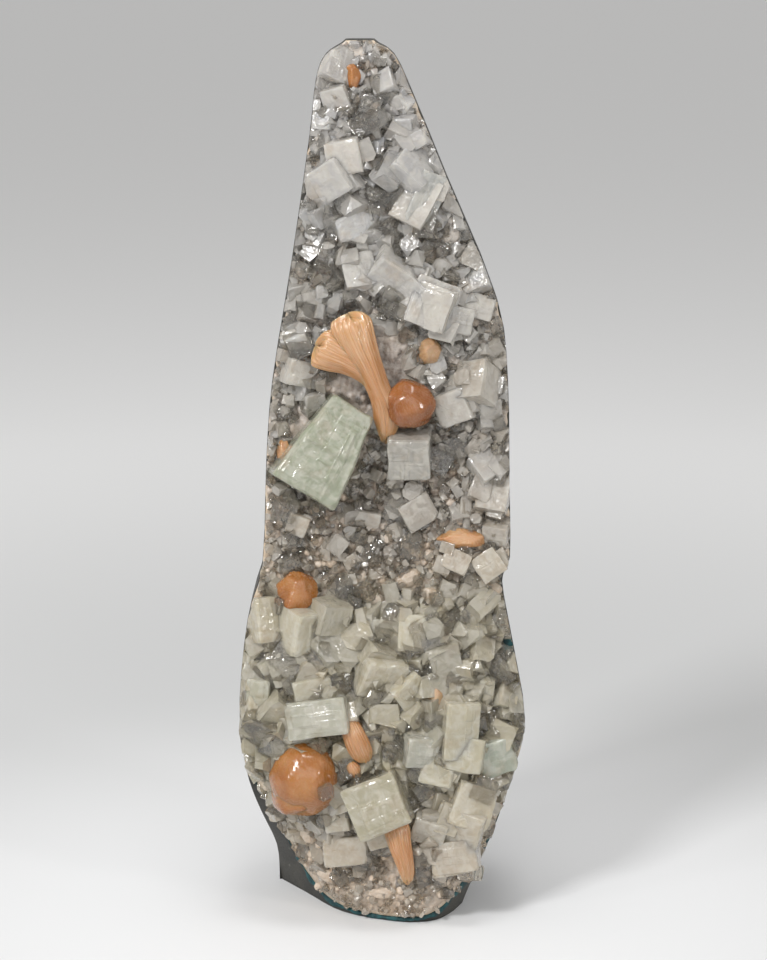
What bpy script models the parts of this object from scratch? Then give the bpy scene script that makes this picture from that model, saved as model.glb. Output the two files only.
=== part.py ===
"""Apophyllite cluster on basalt.

A tall slice sawn from the wall of a hollow in basalt. It stands on its sawn base, with its crystal face
towards -Y. The crust of chalcedony and small crystals is one solid on the front of the basalt. The large
crystals of apophyllite and the clusters of stilbite that stand out of it are solids of their own.
"""

import math
import random

import bmesh
import bpy
import numpy as np
from mathutils import Matrix, Vector, noise

MM = 0.001

# Driving dimensions
HEIGHT = 400 * MM
RIM_FRONT = -26 * MM
FACE_LEAN = 0.035
CRUST_DEPTH = 7 * MM
GAP = 0.3 * MM
CRUST_BEHIND = 1.5 * MM
FOOT_HEIGHT = 70 * MM
FRONT_LIMIT = -140 * MM
BACK_LIMIT = 90 * MM
SHEET_SPREAD = 0.15
SHEET_COLUMNS = 8
SEED = 11

# Edge of the crystal face from the left of the base over the tip to the right of the base, as x and z in mm
FACE_EDGE = [
    (-50, 0), (-51, 21), (-57, 45), (-64, 74), (-66, 102), (-62, 140), (-55, 167), (-53, 213), (-50, 250),
    (-41, 304), (-33, 358), (-30, 383), (-26, 394), (-17, 400), (-4, 400), (5, 394), (14, 375), (29, 339),
    (51, 286), (56, 250), (57, 205), (57.5, 169), (54, 158), (59, 130), (65, 93), (59, 66), (49, 33), (37, 0),
]
TIP_POINT = 14

# Lower edge of the crust, from the left rim down and up to the right rim, as x and z in mm
CRUST_EDGE = [
    (-62, 72), (-58, 52), (-52, 36), (-46, 23), (-40, 13), (-30, 5), (-18, 2.5), (0, 2), (16, 2.5),
    (26, 5.5), (35, 13), (43, 25), (50, 38), (57, 58),
]
RIM_HEIGHT = 72 * MM

# Front edge of the foot in plan, from the left silhouette to the right one, as share of the width and y in mm
FOOT_FRONT = [(0, 25), (0.15, 5), (0.36, -22), (0.65, -35), (0.83, -34), (0.93, -24), (1, -10)]

# How far the basalt reaches back, as height and y in mm
BACK_DEPTH = [(0, 40), (100, 43), (200, 38), (300, 30), (370, 22), (400, 15)]

# How far the crust bulges in front of its sawn rim, as height and millimetres
CRUST_BULGE = [
    (0, 2), (20, 4), (45, 8), (75, 10), (110, 10), (140, 7), (162, 2), (185, 0.5), (210, 1), (235, 3),
    (265, 4), (300, 6), (345, 6), (375, 4), (400, 1),
]

# Heights in mm at which the front and the back of the crust bend, or their outline does
FRONT_HEIGHTS = [-4, 8, 20, *range(36, 404, 17), 404]
BACK_HEIGHTS = [-4, 0, 8, 16, 25, 35, 47, 60, 72, 100, 130, 170, 250, 300, 345, 375, 388, 396, 404]

# Crystals fused to the crust, as x, z, width, height in mm and roll in degrees
FUSED_BLOCKS = [
    (-21, 389, 14, 14, -20), (-20, 375, 11, 11, 20), (7, 374, 11, 9, -25), (-25, 366, 10, 11, -8),
    (11, 355, 19, 8, 28), (-17, 350, 14, 14, 12), (10, 343, 16, 16, -30), (-22, 338, 15, 15, 35),
    (-11, 320, 20, 11, 18), (3, 298, 16, 17, -35), (-12, 298, 13, 14, 12), (42, 293, 12, 12, 15),
    (29, 272, 12, 8, 20), (-38, 267, 12, 10, 25), (-36, 253, 18, 12, -15), (40, 248, 20, 17, -10),
    (32, 238, 15, 15, 25), (47, 211, 14, 14, 35), (-38, 184, 10, 10, -20), (-7, 187, 12, 8, -10),
    (15, 190, 14, 14, 30), (49, 197, 13, 17, -12), (34, 167, 12, 10, -25), (48, 166, 13, 13, 35),
    (-53, 140, 15, 20, 8), (-36, 136, 18, 18, -12), (-52, 119, 10, 11, 30), (-33, 112, 17, 10, 8),
    (-44, 88, 15, 9, -12), (-2, 115, 20, 18, -20), (11, 107, 14, 15, 30), (12, 127, 14, 14, -5),
    (-1, 136, 13, 9, 3), (38, 142, 14, 6, 55), (38, 121, 16, 12, 15), (50, 107, 9, 14, -5),
    (-2, 38, 9, 10, 20), (26, 64, 14, 8, 15), (50, 62, 13, 10, 25), (44, 51, 14, 16, -20),
    (22, 45, 14, 12, -15), (-22, 48, 12, 13, 10),
]
FUSED_POINTS = [
    (-8, 366, 18, 12, 28), (-2, 333, 9, 16, -8), (9, 311, 8, 8, 0), (19, 310, 8, 8, 25),
    (-32, 283, 8, 10, -10), (26, 214, 11, 15, -30), (-44, 194, 11, 14, -15), (-31, 194, 7, 10, 10),
    (-42, 166, 10, 10, 20), (-18, 157, 12, 10, -40), (5, 195, 9, 15, -5), (14, 175, 9, 14, -8),
    (-47, 127, 12, 10, -45), (-6, 91, 9, 12, -15), (55, 92, 9, 12, -30), (18, 22, 10, 15, 10),
]
FUSED_LUMPS = [
    (-13, 393, 14, 10, 0), (30, 318, 10, 16, 22), (36, 306, 10, 10, 0), (-28, 323, 9, 11, 0),
    (47, 275, 9, 10, 0), (41, 221, 14, 8, -8), (33, 197, 9, 12, -10), (44, 154, 14, 9, 0),
    (11, 159, 17, 10, 20), (-34, 38, 12, 12, 0), (-54, 66, 10, 14, 25), (-17, 30, 20, 15, 5),
    (-25, 19, 15, 9, -20), (2, 12, 18, 8, 0),
]

# Smaller crystals that fill the crust: up to which z and their spacing in mm, share of blocks and of lumps
FILL_ZONES = [
    (40, 27.0, 0.15, 0.50),
    (150, 32.0, 0.70, 0.05),
    (215, 25.0, 0.40, 0.20),
    (HEIGHT / MM, 30.0, 0.65, 0.05),
]

# Separate crystals of one form: name, width, height, depth and cut corner in mm, share of the width left at
# the top, then x, z and distance forward of the crust in mm, and roll, turn and tip in degrees
SINGLE_BLOCKS = [
    ("stilbite_blade_right", 19, 6, 7, 1.2, 1.0, 36, 178, 2, -6, 0, 0),
    ("stilbite_flake", 4, 11, 6, 0.8, 1.0, -45, 217, 2, -12, 0, 0),
    ("stilbite_wedge", 7, 10, 7, 1.0, 0.6, 23, 107, 3, 8, 0, 0),
    ("apophyllite_cube_front", 26, 25, 22, 1.5, 1.0, -2, 58, 6, 23, -8, 6),
    ("apophyllite_block_large", 33, 45, 26, 4.0, 0.64, -23, 222, 5, -31, 8, -8),
    ("apophyllite_prism_small", 19, 20, 17, 3.0, 1.0, 12, 218, 5, 2, -6, 16),
    ("apophyllite_block_right", 18, 17, 15, 2.0, 1.0, 50, 79, 1, 12, 16, 5),
    ("apophyllite_block_left", 28, 17, 16, 2.0, 1.0, -29, 98, 3, 8, -12, -8),
    ("apophyllite_block_mid", 15, 14, 14, 1.5, 1.0, 16, 83, 3, -8, 18, 6),
    ("apophyllite_block_tall_left", 11, 19, 12, 1.5, 1.0, -56, 106, 2, -4, -14, 4),
    ("apophyllite_block_high_right", 13, 24, 12, 2.0, 1.0, 18, 332, 2, -24, 14, 4),
]

# Separate rounded pieces: name, width, height, depth in mm, unevenness, then x, z and distance forward in mm
SINGLE_LUMPS = [
    ("stilbite_ball_left", 17, 18, 16, 0.04, -39, 154, 4),
    ("stilbite_bud_top", 8, 11, 9, 0.05, -13.5, 385, 2),
    ("stilbite_bud_upper", 10, 12, 10, 0.05, 20, 264, 3),
]


def smooth_curve(points, steps):
    """Points on the Catmull-Rom curve through the given points, with so many steps for each stretch."""
    given = np.array(points, float)
    line = np.vstack([2 * given[0] - given[1], given, 2 * given[-1] - given[-2]])
    t = (np.arange(steps) / steps)[:, None]
    stretches = []
    for p0, p1, p2, p3 in zip(line, line[1:], line[2:], line[3:]):
        bend = (2 * p0 - 5 * p1 + 4 * p2 - p3) * t ** 2 + (3 * p1 - p0 - 3 * p2 + p3) * t ** 3
        stretches.append(0.5 * (2 * p1 + (p2 - p0) * t + bend))
    return np.vstack(stretches + [given[-1:]])


def smooth_step(value):
    """Rises from 0 to 1 with level ends, for a value from 0 to 1."""
    inside = np.clip(value, 0.0, 1.0)
    return inside * inside * (3.0 - 2.0 * inside)


EDGE_CURVE = smooth_curve(FACE_EDGE, 3) * MM
LEFT_EDGE = smooth_curve(FACE_EDGE[:TIP_POINT], 3) * MM
RIGHT_EDGE = smooth_curve(FACE_EDGE[TIP_POINT:], 3)[::-1] * MM
FOOT_CURVE = smooth_curve(FOOT_FRONT, 4)


def width_at(z):
    """x of the left and the right edge of the face at a height."""
    left = np.interp(z, LEFT_EDGE[:, 1], LEFT_EDGE[:, 0])
    right = np.interp(z, RIGHT_EDGE[:, 1], RIGHT_EDGE[:, 0])
    return left, right


def share_of_width(x, z):
    """0 at the left edge of the face and 1 at the right edge."""
    left, right = width_at(z)
    return (x - left) / (right - left)


def front_y(share, z):
    """y of the sawn front: a plane that leans back, rounding into the curved front of the foot."""
    plane = RIM_FRONT + FACE_LEAN * z
    foot = np.interp(share, FOOT_CURVE[:, 0], FOOT_CURVE[:, 1]) * MM
    rise = smooth_step(z / FOOT_HEIGHT)
    return foot + (plane - foot) * rise


def crust_back(share, z):
    """y of the surface in which the crust meets the basalt."""
    return front_y(share, z) + CRUST_DEPTH


def crust_front(share, z):
    """y of the crust between its crystals: level at the sawn rim, bulging and uneven inside it."""
    heights, bulges = np.array(CRUST_BULGE).T
    bulge = np.interp(z / MM, heights, bulges) * MM
    inside = 1.0 - min(abs(2.0 * share - 1.0), 1.0) ** 4
    left, right = width_at(z)
    place = Vector((left + share * (right - left), 0.0, z)) / (14 * MM)
    uneven = 2.2 * MM * noise.noise(place)
    return front_y(share, z) - (bulge + uneven) * inside


def face_y(x, z):
    """y of the crust's front at a place on the face."""
    return crust_front(share_of_width(x, z), z)


def new_collection(name):
    """A new collection in the scene."""
    collection = bpy.data.collections.new(name)
    bpy.context.scene.collection.children.link(collection)
    return collection


def new_material(name, colour, roughness, metallic=0.0):
    """A Principled material of one colour."""
    material = bpy.data.materials.new(name)
    material.use_nodes = True
    shader = material.node_tree.nodes["Principled BSDF"]
    shader.inputs["Base Color"].default_value = (*colour, 1.0)
    shader.inputs["Roughness"].default_value = roughness
    shader.inputs["Metallic"].default_value = metallic
    material.diffuse_color = (*colour, 1.0)
    return material


def new_object(name, bm, collection, material=None):
    """An object made from a bmesh, which is freed."""
    bmesh.ops.recalc_face_normals(bm, faces=bm.faces[:])
    mesh = bpy.data.meshes.new(name)
    bm.to_mesh(mesh)
    bm.free()
    if material:
        mesh.materials.append(material)
    obj = bpy.data.objects.new(name, mesh)
    collection.objects.link(obj)
    return obj


def new_cutter(name, bm, collection):
    """An object that only shapes others."""
    obj = new_object(name, bm, collection)
    obj.hide_render = True
    obj.display_type = "WIRE"
    return obj


def add_boolean(obj, operation, other):
    """Joins, cuts or trims an object with another. Both are closed, and neither crosses itself."""
    modifier = obj.modifiers.new(operation.lower(), "BOOLEAN")
    modifier.operation = operation
    modifier.solver = "MANIFOLD"
    modifier.object = other


def shells_of(bm):
    """The separate closed shells of a bmesh, each as a list of its faces."""
    seen = set()
    shells = []
    for start in bm.faces:
        if start in seen:
            continue
        seen.add(start)
        shell = [start]
        for face in shell:
            for edge in face.edges:
                for neighbour in edge.link_faces:
                    if neighbour not in seen:
                        seen.add(neighbour)
                        shell.append(neighbour)
        shells.append(shell)
    return shells


def settle(obj):
    """Applies an object's Booleans and keeps its one body, without loose chips."""
    graph = bpy.context.evaluated_depsgraph_get()
    mesh = bpy.data.meshes.new_from_object(obj.evaluated_get(graph))
    bm = bmesh.new()
    bm.from_mesh(mesh)
    shells = sorted(shells_of(bm), key=lambda shell: sum(face.calc_area() for face in shell))
    chips = [face for shell in shells[:-1] for face in shell]
    bmesh.ops.delete(bm, geom=chips, context="FACES")
    bm.to_mesh(mesh)
    bm.free()
    obj.modifiers.clear()
    obj.data = mesh


def sheet(front, back, heights):
    """A closed sheet over the face between two surfaces, each a function of share of width and height."""
    shares = np.linspace(-SHEET_SPREAD, 1.0 + SHEET_SPREAD, SHEET_COLUMNS + 1)
    rows = len(heights) - 1
    columns = len(shares) - 1
    bm = bmesh.new()
    layers = []
    for surface in (front, back):
        layer = []
        for height in heights:
            z = height * MM
            left, right = width_at(z)
            line = [bm.verts.new((left + s * (right - left), surface(s, z), z)) for s in shares]
            layer.append(line)
        layers.append(layer)
    for layer in layers:
        for low, high in zip(layer, layer[1:]):
            for a, b, c, d in zip(low, low[1:], high[1:], high):
                bm.faces.new((a, b, c, d))
    near, far = layers
    for edge in (0, -1):
        for i in range(rows):
            bm.faces.new((near[i][edge], near[i + 1][edge], far[i + 1][edge], far[i][edge]))
        for i in range(columns):
            bm.faces.new((near[edge][i], near[edge][i + 1], far[edge][i + 1], far[edge][i]))
    bmesh.ops.triangulate(bm, faces=bm.faces[:])
    return bm


def prism(outline, front, back):
    """An outline in x and z, drawn out along y."""
    bm = bmesh.new()
    loop = [bm.verts.new((x, front, z)) for x, z in outline]
    face = bm.faces.new(loop)
    drawn = bmesh.ops.extrude_face_region(bm, geom=[face])
    moved = [item for item in drawn["geom"] if isinstance(item, bmesh.types.BMVert)]
    bmesh.ops.translate(bm, verts=moved, vec=(0.0, back - front, 0.0))
    return bm


def crust_outline(rim_out, edge_out):
    """The crust's outline: the rim moved out by one amount, and the lower edge by another."""
    rim = np.array([point for point in EDGE_CURVE if point[1] > RIM_HEIGHT])
    lower = smooth_curve(CRUST_EDGE, 2)[::-1] * MM
    middle = np.array([5 * MM, 110 * MM])
    grown = []
    for line, amount in ((rim, rim_out), (lower, edge_out)):
        along = np.gradient(line, axis=0)
        across = np.stack([-along[:, 1], along[:, 0]], axis=1)
        across /= np.linalg.norm(across, axis=1)[:, None]
        outward = across * np.sign(np.sum(across * (line - middle), axis=1))[:, None]
        grown.append(line + outward * amount)
    return np.vstack(grown)


def basalt_block():
    """The slice of basalt: level sections with the sawn front, straight sides and a broken, rounded back."""
    heights = [0, 6, 12, 20, 30, 42, 56, 72, 95, 120, 150, 180, 210, 240, 270, 300, 330, 355, 378, 392, 403]
    front_shares = np.linspace(-0.02, 1.02, 15)
    back_angles = np.radians(np.linspace(8, 172, 11))
    bm = bmesh.new()
    rings = []
    for z_mm in heights:
        z = z_mm * MM
        left, right = width_at(z)
        middle = (left + right) / 2
        half = (right - left) / 2 * 1.04
        depth = np.interp(z_mm, *np.array(BACK_DEPTH).T) * MM
        ring = [(left + s * (right - left), front_y(s, z)) for s in front_shares]
        for angle in back_angles:
            x = middle + half * np.sign(math.cos(angle)) * abs(math.cos(angle)) ** 0.4
            y = depth * math.sin(angle) ** 0.6
            broken = 3.5 * MM * noise.noise(Vector((x, y, z)) / (22 * MM)) * math.sin(angle)
            ring.append((x, max(y + broken, ring[0][1] + 2 * MM)))
        rings.append([bm.verts.new((x, y, z)) for x, y in ring])
    for low, high in zip(rings, rings[1:]):
        for i in range(len(low)):
            j = (i + 1) % len(low)
            bm.faces.new((low[i], low[j], high[j], high[i]))
    bm.faces.new(rings[0])
    bm.faces.new(rings[-1])
    bmesh.ops.triangulate(bm, faces=bm.faces[:])
    return bm


def block(width, height, depth, corner=0.0, taper=1.0):
    """A blocky crystal, in mm: a box with its corners cut off, whose upper end can be narrower."""
    bm = bmesh.new()
    bmesh.ops.create_cube(bm, size=1.0)
    for vertex in bm.verts:
        if vertex.co.z > 0:
            vertex.co.x *= taper
    bmesh.ops.scale(bm, vec=Vector((width, depth, height)) * MM, verts=bm.verts[:])
    if corner:
        bmesh.ops.bevel(bm, geom=bm.verts[:], offset=corner * MM, segments=1, affect="VERTICES")
    return bm


def point(width, height, depth):
    """A crystal that ends in a four-sided point towards -Y, in mm."""
    bm = block(width, height, depth)
    tip = min(bm.faces, key=lambda face: face.calc_center_median().y)
    bmesh.ops.poke(bm, faces=[tip], offset=0.35 * (width + height) * MM)
    return bm


def lump(width, height, depth, seed=0, detail=1, uneven=0.10):
    """A knobbly rounded lump with flat facets, in mm."""
    chance = random.Random(seed)
    bm = bmesh.new()
    bmesh.ops.create_icosphere(bm, subdivisions=detail, radius=0.5)
    for vertex in bm.verts:
        vertex.co *= 1.0 + chance.uniform(-uneven, uneven)
    bmesh.ops.scale(bm, vec=Vector((width, depth, height)) * MM, verts=bm.verts[:])
    return bm


def sheaf(sections, sides=10):
    """Bundled blades: flattened rings along a line in the face, each given as x, z, half width, half depth,
    how far its middle stands forward, and the direction of the line there in degrees above +X, all in mm."""
    bm = bmesh.new()
    rings = []
    for x, z, half_width, half_depth, forward, direction in sections:
        turn = math.radians(direction)
        ring = []
        for i in range(sides):
            angle = 2 * math.pi * i / sides
            across = half_width * math.cos(angle)
            vertex = (
                x - across * math.sin(turn),
                -forward - half_depth * math.sin(angle),
                z + across * math.cos(turn),
            )
            ring.append(bm.verts.new(Vector(vertex) * MM))
        rings.append(ring)
    for low, high in zip(rings, rings[1:]):
        for i in range(sides):
            j = (i + 1) % sides
            bm.faces.new((low[i], low[j], high[j], high[i]))
    for ring in (rings[0], rings[-1]):
        bm.faces.new(ring)
    bmesh.ops.triangulate(bm, faces=bm.faces[:])
    return bm


def placed(bm, x, z, forward=0.0, roll=0.0, turn=0.0, tip=0.0):
    """Puts a form on the face: x, z and the distance forward of the crust in mm, its angles in degrees."""
    y = face_y(x * MM, z * MM) - forward * MM
    roll_turn = Matrix.Rotation(math.radians(-roll), 4, "Y")
    side_turn = Matrix.Rotation(math.radians(turn), 4, "Z")
    tip_turn = Matrix.Rotation(math.radians(tip), 4, "X")
    place = Matrix.Translation((x * MM, y, z * MM))
    bmesh.ops.transform(bm, matrix=place @ tip_turn @ side_turn @ roll_turn, verts=bm.verts[:])
    return bm


def joined(forms, grow=0.0):
    """One bmesh of several forms, each grown evenly outward by an amount."""
    whole = bmesh.new()
    for form in forms:
        bmesh.ops.recalc_face_normals(form, faces=form.faces[:])
        moves = [(vertex, vertex.normal * grow * vertex.calc_shell_factor()) for vertex in form.verts]
        for vertex, move in moves:
            vertex.co += move
        mesh = bpy.data.meshes.new("form")
        form.to_mesh(mesh)
        form.free()
        whole.from_mesh(mesh)
        bpy.data.meshes.remove(mesh)
    return whole


def fused_crystals():
    """The larger crystals of the crust, each turned a little its own way."""
    chance = random.Random(SEED)
    forms = []
    for x, z, width, height, roll in FUSED_BLOCKS:
        depth = 0.8 * min(width, height) + 3
        form = block(width, height, depth)
        forms.append(placed(form, x, z, 0.12 * depth, roll, chance.uniform(-28, 28), chance.uniform(-25, 25)))
    for x, z, width, height, roll in FUSED_POINTS:
        form = point(width, height, 0.5 * min(width, height))
        forms.append(placed(form, x, z, 0.5, roll, chance.uniform(-20, 20), chance.uniform(-20, 20)))
    for x, z, width, height, roll in FUSED_LUMPS:
        form = lump(width, height, 0.8 * min(width, height), chance.random())
        forms.append(placed(form, x, z, 0.5, roll))
    return forms


def fill_crystals():
    """Small crystals between the larger ones, on a loose grid whose spacing follows the zone."""
    chance = random.Random(SEED + 1)
    taken = [(x, z, max(w, h) / 2) for x, z, w, h, _ in FUSED_BLOCKS + FUSED_POINTS + FUSED_LUMPS]
    forms = []
    z = 8.0
    while z < HEIGHT / MM - 6:
        spacing, blocks, lumps = next(zone[1:] for zone in FILL_ZONES if z < zone[0])
        left, right = (edge / MM for edge in width_at(z * MM))
        x = left + chance.uniform(0.3, 1.0) * spacing
        while x < right - 3:
            place_x = x + chance.uniform(-0.2, 0.2) * spacing
            place_z = z + chance.uniform(-0.3, 0.3) * spacing
            free = all(math.hypot(place_x - a, place_z - b) > 0.75 * size + 2 for a, b, size in taken)
            if free:
                forms.append(small_crystal(chance, place_x, place_z, spacing, blocks, lumps))
            x += spacing
        z += 0.85 * spacing
    return forms


def small_crystal(chance, x, z, spacing, blocks, lumps):
    """One small crystal: a block, a lump or a point, by the shares of its zone."""
    kind = chance.random()
    width = spacing * chance.uniform(0.5, 0.75)
    height = spacing * chance.uniform(0.5, 0.75)
    depth = 0.5 * (width + height)
    if kind < blocks:
        form = block(width, height, depth)
    elif kind < blocks + lumps:
        form = lump(width, height, depth, chance.random())
    else:
        form = point(width, height, 0.6 * depth)
    return placed(form, x, z, 0.3, chance.uniform(-45, 45), chance.uniform(-25, 25), chance.uniform(-25, 25))


def stilbite_bow_tie():
    """Sheaf that fans out at both ends from a narrow waist, with a rounded head at its lower end."""
    front = -face_y(-4 * MM, 252 * MM) / MM
    sections = [
        (-24, 281, 9, 4, front + 7, 121), (-22, 278, 13.5, 7, front + 8, 122),
        (-19, 273, 13.5, 8.5, front + 8, 123), (-13.5, 265, 10.5, 8, front + 7, 124),
        (-8, 257, 7.5, 7, front + 6, 125), (-3, 249.5, 5.6, 6.5, front + 6, 124),
        (1, 243, 6.5, 7, front + 6, 119), (4, 236, 9, 8, front + 6, 110),
        (4, 230, 7, 6.5, front + 5, 100), (2, 226, 3, 4, front + 4, 95),
    ]
    head = lump(22, 21, 19, 3, 2, 0.03)
    return [sheaf(sections, 12), placed(head, 12, 239.5, 8)]


def stilbite_ball_large():
    """Lumpy ball of blades, grown from three lobes."""
    return [
        placed(lump(29, 30, 26, 4, 2, 0.05), -39, 67, 3),
        placed(lump(22, 21, 20, 5, 2, 0.05), -32, 71, 5),
        placed(lump(19, 22, 18, 6, 2, 0.05), -33, 60, 4),
    ]


def stilbite_sheaf_centre():
    """Slender upright sheaf beside the large ball."""
    front = -face_y(-13 * MM, 82 * MM) / MM
    sections = [
        (-19, 95, 2.5, 2, front + 2, 118), (-17, 91, 5, 4.5, front + 4, 118),
        (-13.5, 84, 6, 5.5, front + 5, 115), (-11, 76, 5, 4.5, front + 4, 108),
        (-9.5, 70, 2.5, 2.5, front + 2, 104),
    ]
    return [sheaf(sections, 8)]


def stilbite_sheaf_front():
    """Sheaf low on the front that narrows downward to a point."""
    front = -face_y(8 * MM, 31 * MM) / MM
    sections = [
        (4.5, 45, 3, 2.5, front + 4, 100), (5, 42, 5.5, 5, front + 6, 100), (7, 34, 5, 5.5, front + 7, 104),
        (9.5, 25, 3, 4, front + 6, 104), (11, 17, 1.2, 2, front + 4, 102),
    ]
    return [sheaf(sections, 8)]


def apophyllite_column_right():
    """Upright block with a wider foot, grown from two crystals."""
    return [
        placed(block(16, 27, 15, 1.5), 34, 93, 4, -4, 14, 4),
        placed(block(19, 16, 14, 1.5), 37, 81, 3, -8, -12, -8),
    ]


def apophyllite_plate_lower_right():
    """Thick plates at the lower right, with a small point between them."""
    return [
        placed(block(22, 19, 12, 1.5), 35, 47, 3, -16, -18, 6),
        placed(block(21, 15, 12, 1.5), 33, 33, 3, 10, -10, -6),
        placed(point(10, 10, 7), 38, 40, 8, 10, -12),
    ]


def apophyllite_block_upper():
    """Plates grown across each other."""
    return [
        placed(block(21, 22, 13, 2), 21, 285, 3, -20, 10, -6),
        placed(block(15, 11, 12, 1.5), 14, 292, 3, -40, -14, 8),
        placed(block(16, 12, 12, 1.5), 31, 279, 2, -15, 16, 4),
    ]


CLUSTERS = [
    stilbite_bow_tie,
    stilbite_ball_large,
    stilbite_sheaf_centre,
    stilbite_sheaf_front,
    apophyllite_column_right,
    apophyllite_plate_lower_right,
    apophyllite_block_upper,
]


def separate_pieces():
    """Name and forms of each separate piece, from those grown over the others to those beneath."""
    pieces = {}
    for cluster in CLUSTERS:
        pieces[cluster.__name__] = cluster
    for name, width, height, depth, uneven, x, z, forward in SINGLE_LUMPS:
        shape = (width, height, depth, len(name), 2, uneven)
        pieces[name] = lambda shape=shape, place=(x, z, forward): [placed(lump(*shape), *place)]
    for name, width, height, depth, corner, taper, *place in SINGLE_BLOCKS:
        shape = (width, height, depth, corner, taper)
        pieces[name] = lambda shape=shape, place=place: [placed(block(*shape), *place)]
    return sorted(pieces.items(), key=lambda item: item[0].startswith("apophyllite"))


def clear_groups(forms):
    """Sorts forms into groups in which none touches another, by the spheres that hold them."""
    groups = []
    for form in forms:
        middle = sum((vertex.co for vertex in form.verts), Vector()) / len(form.verts)
        reach = max((vertex.co - middle).length for vertex in form.verts)
        for group in groups:
            if all((middle - other).length > reach + size for _, other, size in group):
                break
        else:
            group = []
            groups.append(group)
        group.append((form, middle, reach))
    return [[form for form, _, _ in group] for group in groups]


def grown_together(name, forms, grow, collection, material=None):
    """One object of several overlapping forms, each grown evenly outward by an amount first."""
    whole, *others = [joined([form], grow) for form in forms]
    obj = new_object(name, whole, collection, material)
    for number, other in enumerate(others):
        part = new_cutter(f"{name}_form_{number}", other, bpy.data.collections["cutters"])
        add_boolean(obj, "UNION", part)
    settle(obj)
    return obj


def flat(y):
    """A surface of one y for a sheet."""
    return lambda share, z: y


def behind(surface, distance):
    """A surface moved forward by a distance, for a sheet."""
    return lambda share, z: surface(share, z) - distance


def trimmed_room(name, back, trim, cutters):
    """The space in front of a surface and inside an outline."""
    room = new_cutter(name, sheet(flat(FRONT_LIMIT), back, BACK_HEIGHTS), cutters)
    add_boolean(room, "INTERSECT", trim)
    return room


def outline_cutter(name, outline, cutters):
    """An outline in the face, drawn out from well in front of the specimen to well behind it."""
    return new_cutter(name, prism(outline, FRONT_LIMIT, BACK_LIMIT), cutters)


def main():
    """Models the whole specimen."""
    for obj in list(bpy.data.objects):
        bpy.data.objects.remove(obj, do_unlink=True)
    specimen = new_collection("apophyllite_cluster")
    cutters = new_collection("cutters")

    basalt = new_material("basalt", (0.032, 0.031, 0.028), 0.75)
    crust_mineral = new_material("chalcedony_crust", (0.42, 0.39, 0.34), 0.45)
    minerals = {
        "apophyllite": new_material("apophyllite", (0.46, 0.48, 0.39), 0.18),
        "stilbite": new_material("stilbite", (0.62, 0.34, 0.16), 0.40),
    }

    face_trim = outline_cutter("face_outline", EDGE_CURVE, cutters)
    crust_trim = outline_cutter("crust_outline", crust_outline(0.0, 0.0), cutters)
    bed_trim = outline_cutter("crust_outline_in_basalt", crust_outline(6 * MM, GAP), cutters)
    bed = trimmed_room("crust_bed", crust_back, bed_trim, cutters)
    crust_room = trimmed_room("room_for_crust", behind(crust_back, GAP), crust_trim, cutters)
    crystal_room = trimmed_room("room_for_crystals", behind(crust_back, CRUST_BEHIND), face_trim, cutters)
    pocket_space = sheet(flat(FRONT_LIMIT), behind(crust_back, CRUST_BEHIND - GAP), BACK_HEIGHTS)
    pocket_room = new_cutter("room_for_pockets", pocket_space, cutters)

    matrix = new_object("basalt_matrix", basalt_block(), specimen, basalt)
    add_boolean(matrix, "INTERSECT", face_trim)
    add_boolean(matrix, "DIFFERENCE", bed)
    settle(matrix)

    crust_sheet = sheet(crust_front, behind(crust_back, -CRUST_DEPTH), FRONT_HEIGHTS)
    crust = new_object("crystal_crust", crust_sheet, specimen, crust_mineral)
    for number, group in enumerate(clear_groups(fused_crystals() + fill_crystals())):
        growths = new_cutter(f"fused_crystals_{number}", joined(group), cutters)
        add_boolean(crust, "UNION", growths)
    add_boolean(crust, "INTERSECT", crust_room)
    settle(crust)

    pockets = []
    for name, forms in separate_pieces():
        piece = grown_together(name, forms(), 0.0, specimen, minerals[name.split("_")[0]])
        add_boolean(piece, "INTERSECT", crystal_room)
        for pocket in pockets:
            add_boolean(piece, "DIFFERENCE", pocket)
        settle(piece)
        pocket = grown_together(name + "_pocket", forms(), GAP, cutters)
        add_boolean(pocket, "INTERSECT", pocket_room)
        settle(pocket)
        pocket.hide_render = True
        pocket.display_type = "WIRE"
        pockets.append(pocket)
    for pocket in pockets:
        add_boolean(crust, "DIFFERENCE", pocket)
    settle(crust)


if __name__ == "__main__":
    main()
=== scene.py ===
import math
from itertools import product

import bpy
import numpy as np
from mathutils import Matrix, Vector


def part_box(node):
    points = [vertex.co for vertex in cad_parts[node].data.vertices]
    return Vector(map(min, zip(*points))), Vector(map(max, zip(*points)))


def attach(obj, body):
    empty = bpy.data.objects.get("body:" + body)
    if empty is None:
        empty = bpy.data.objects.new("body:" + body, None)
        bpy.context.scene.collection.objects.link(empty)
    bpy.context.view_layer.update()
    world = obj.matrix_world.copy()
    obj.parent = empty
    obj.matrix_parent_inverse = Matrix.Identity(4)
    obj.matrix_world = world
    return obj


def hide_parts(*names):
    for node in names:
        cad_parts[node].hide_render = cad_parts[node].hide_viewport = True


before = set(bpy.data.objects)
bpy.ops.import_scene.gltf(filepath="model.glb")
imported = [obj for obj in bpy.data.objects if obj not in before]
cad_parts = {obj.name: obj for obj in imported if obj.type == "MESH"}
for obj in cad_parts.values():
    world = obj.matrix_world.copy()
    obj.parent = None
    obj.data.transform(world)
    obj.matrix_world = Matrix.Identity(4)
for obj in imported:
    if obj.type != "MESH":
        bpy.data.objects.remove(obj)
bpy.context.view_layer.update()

# Looks of the apophyllite cluster: a tall slice sawn from the wall of a hollow in basalt, its front lined
# with chalcedony, cloudy to clear apophyllite crystals and peach stilbite. Lengths are in metres, angles
# in degrees, and rows of pixels are places in a picture of 767 x 960.

MM = 0.001
SEED = 17

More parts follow.
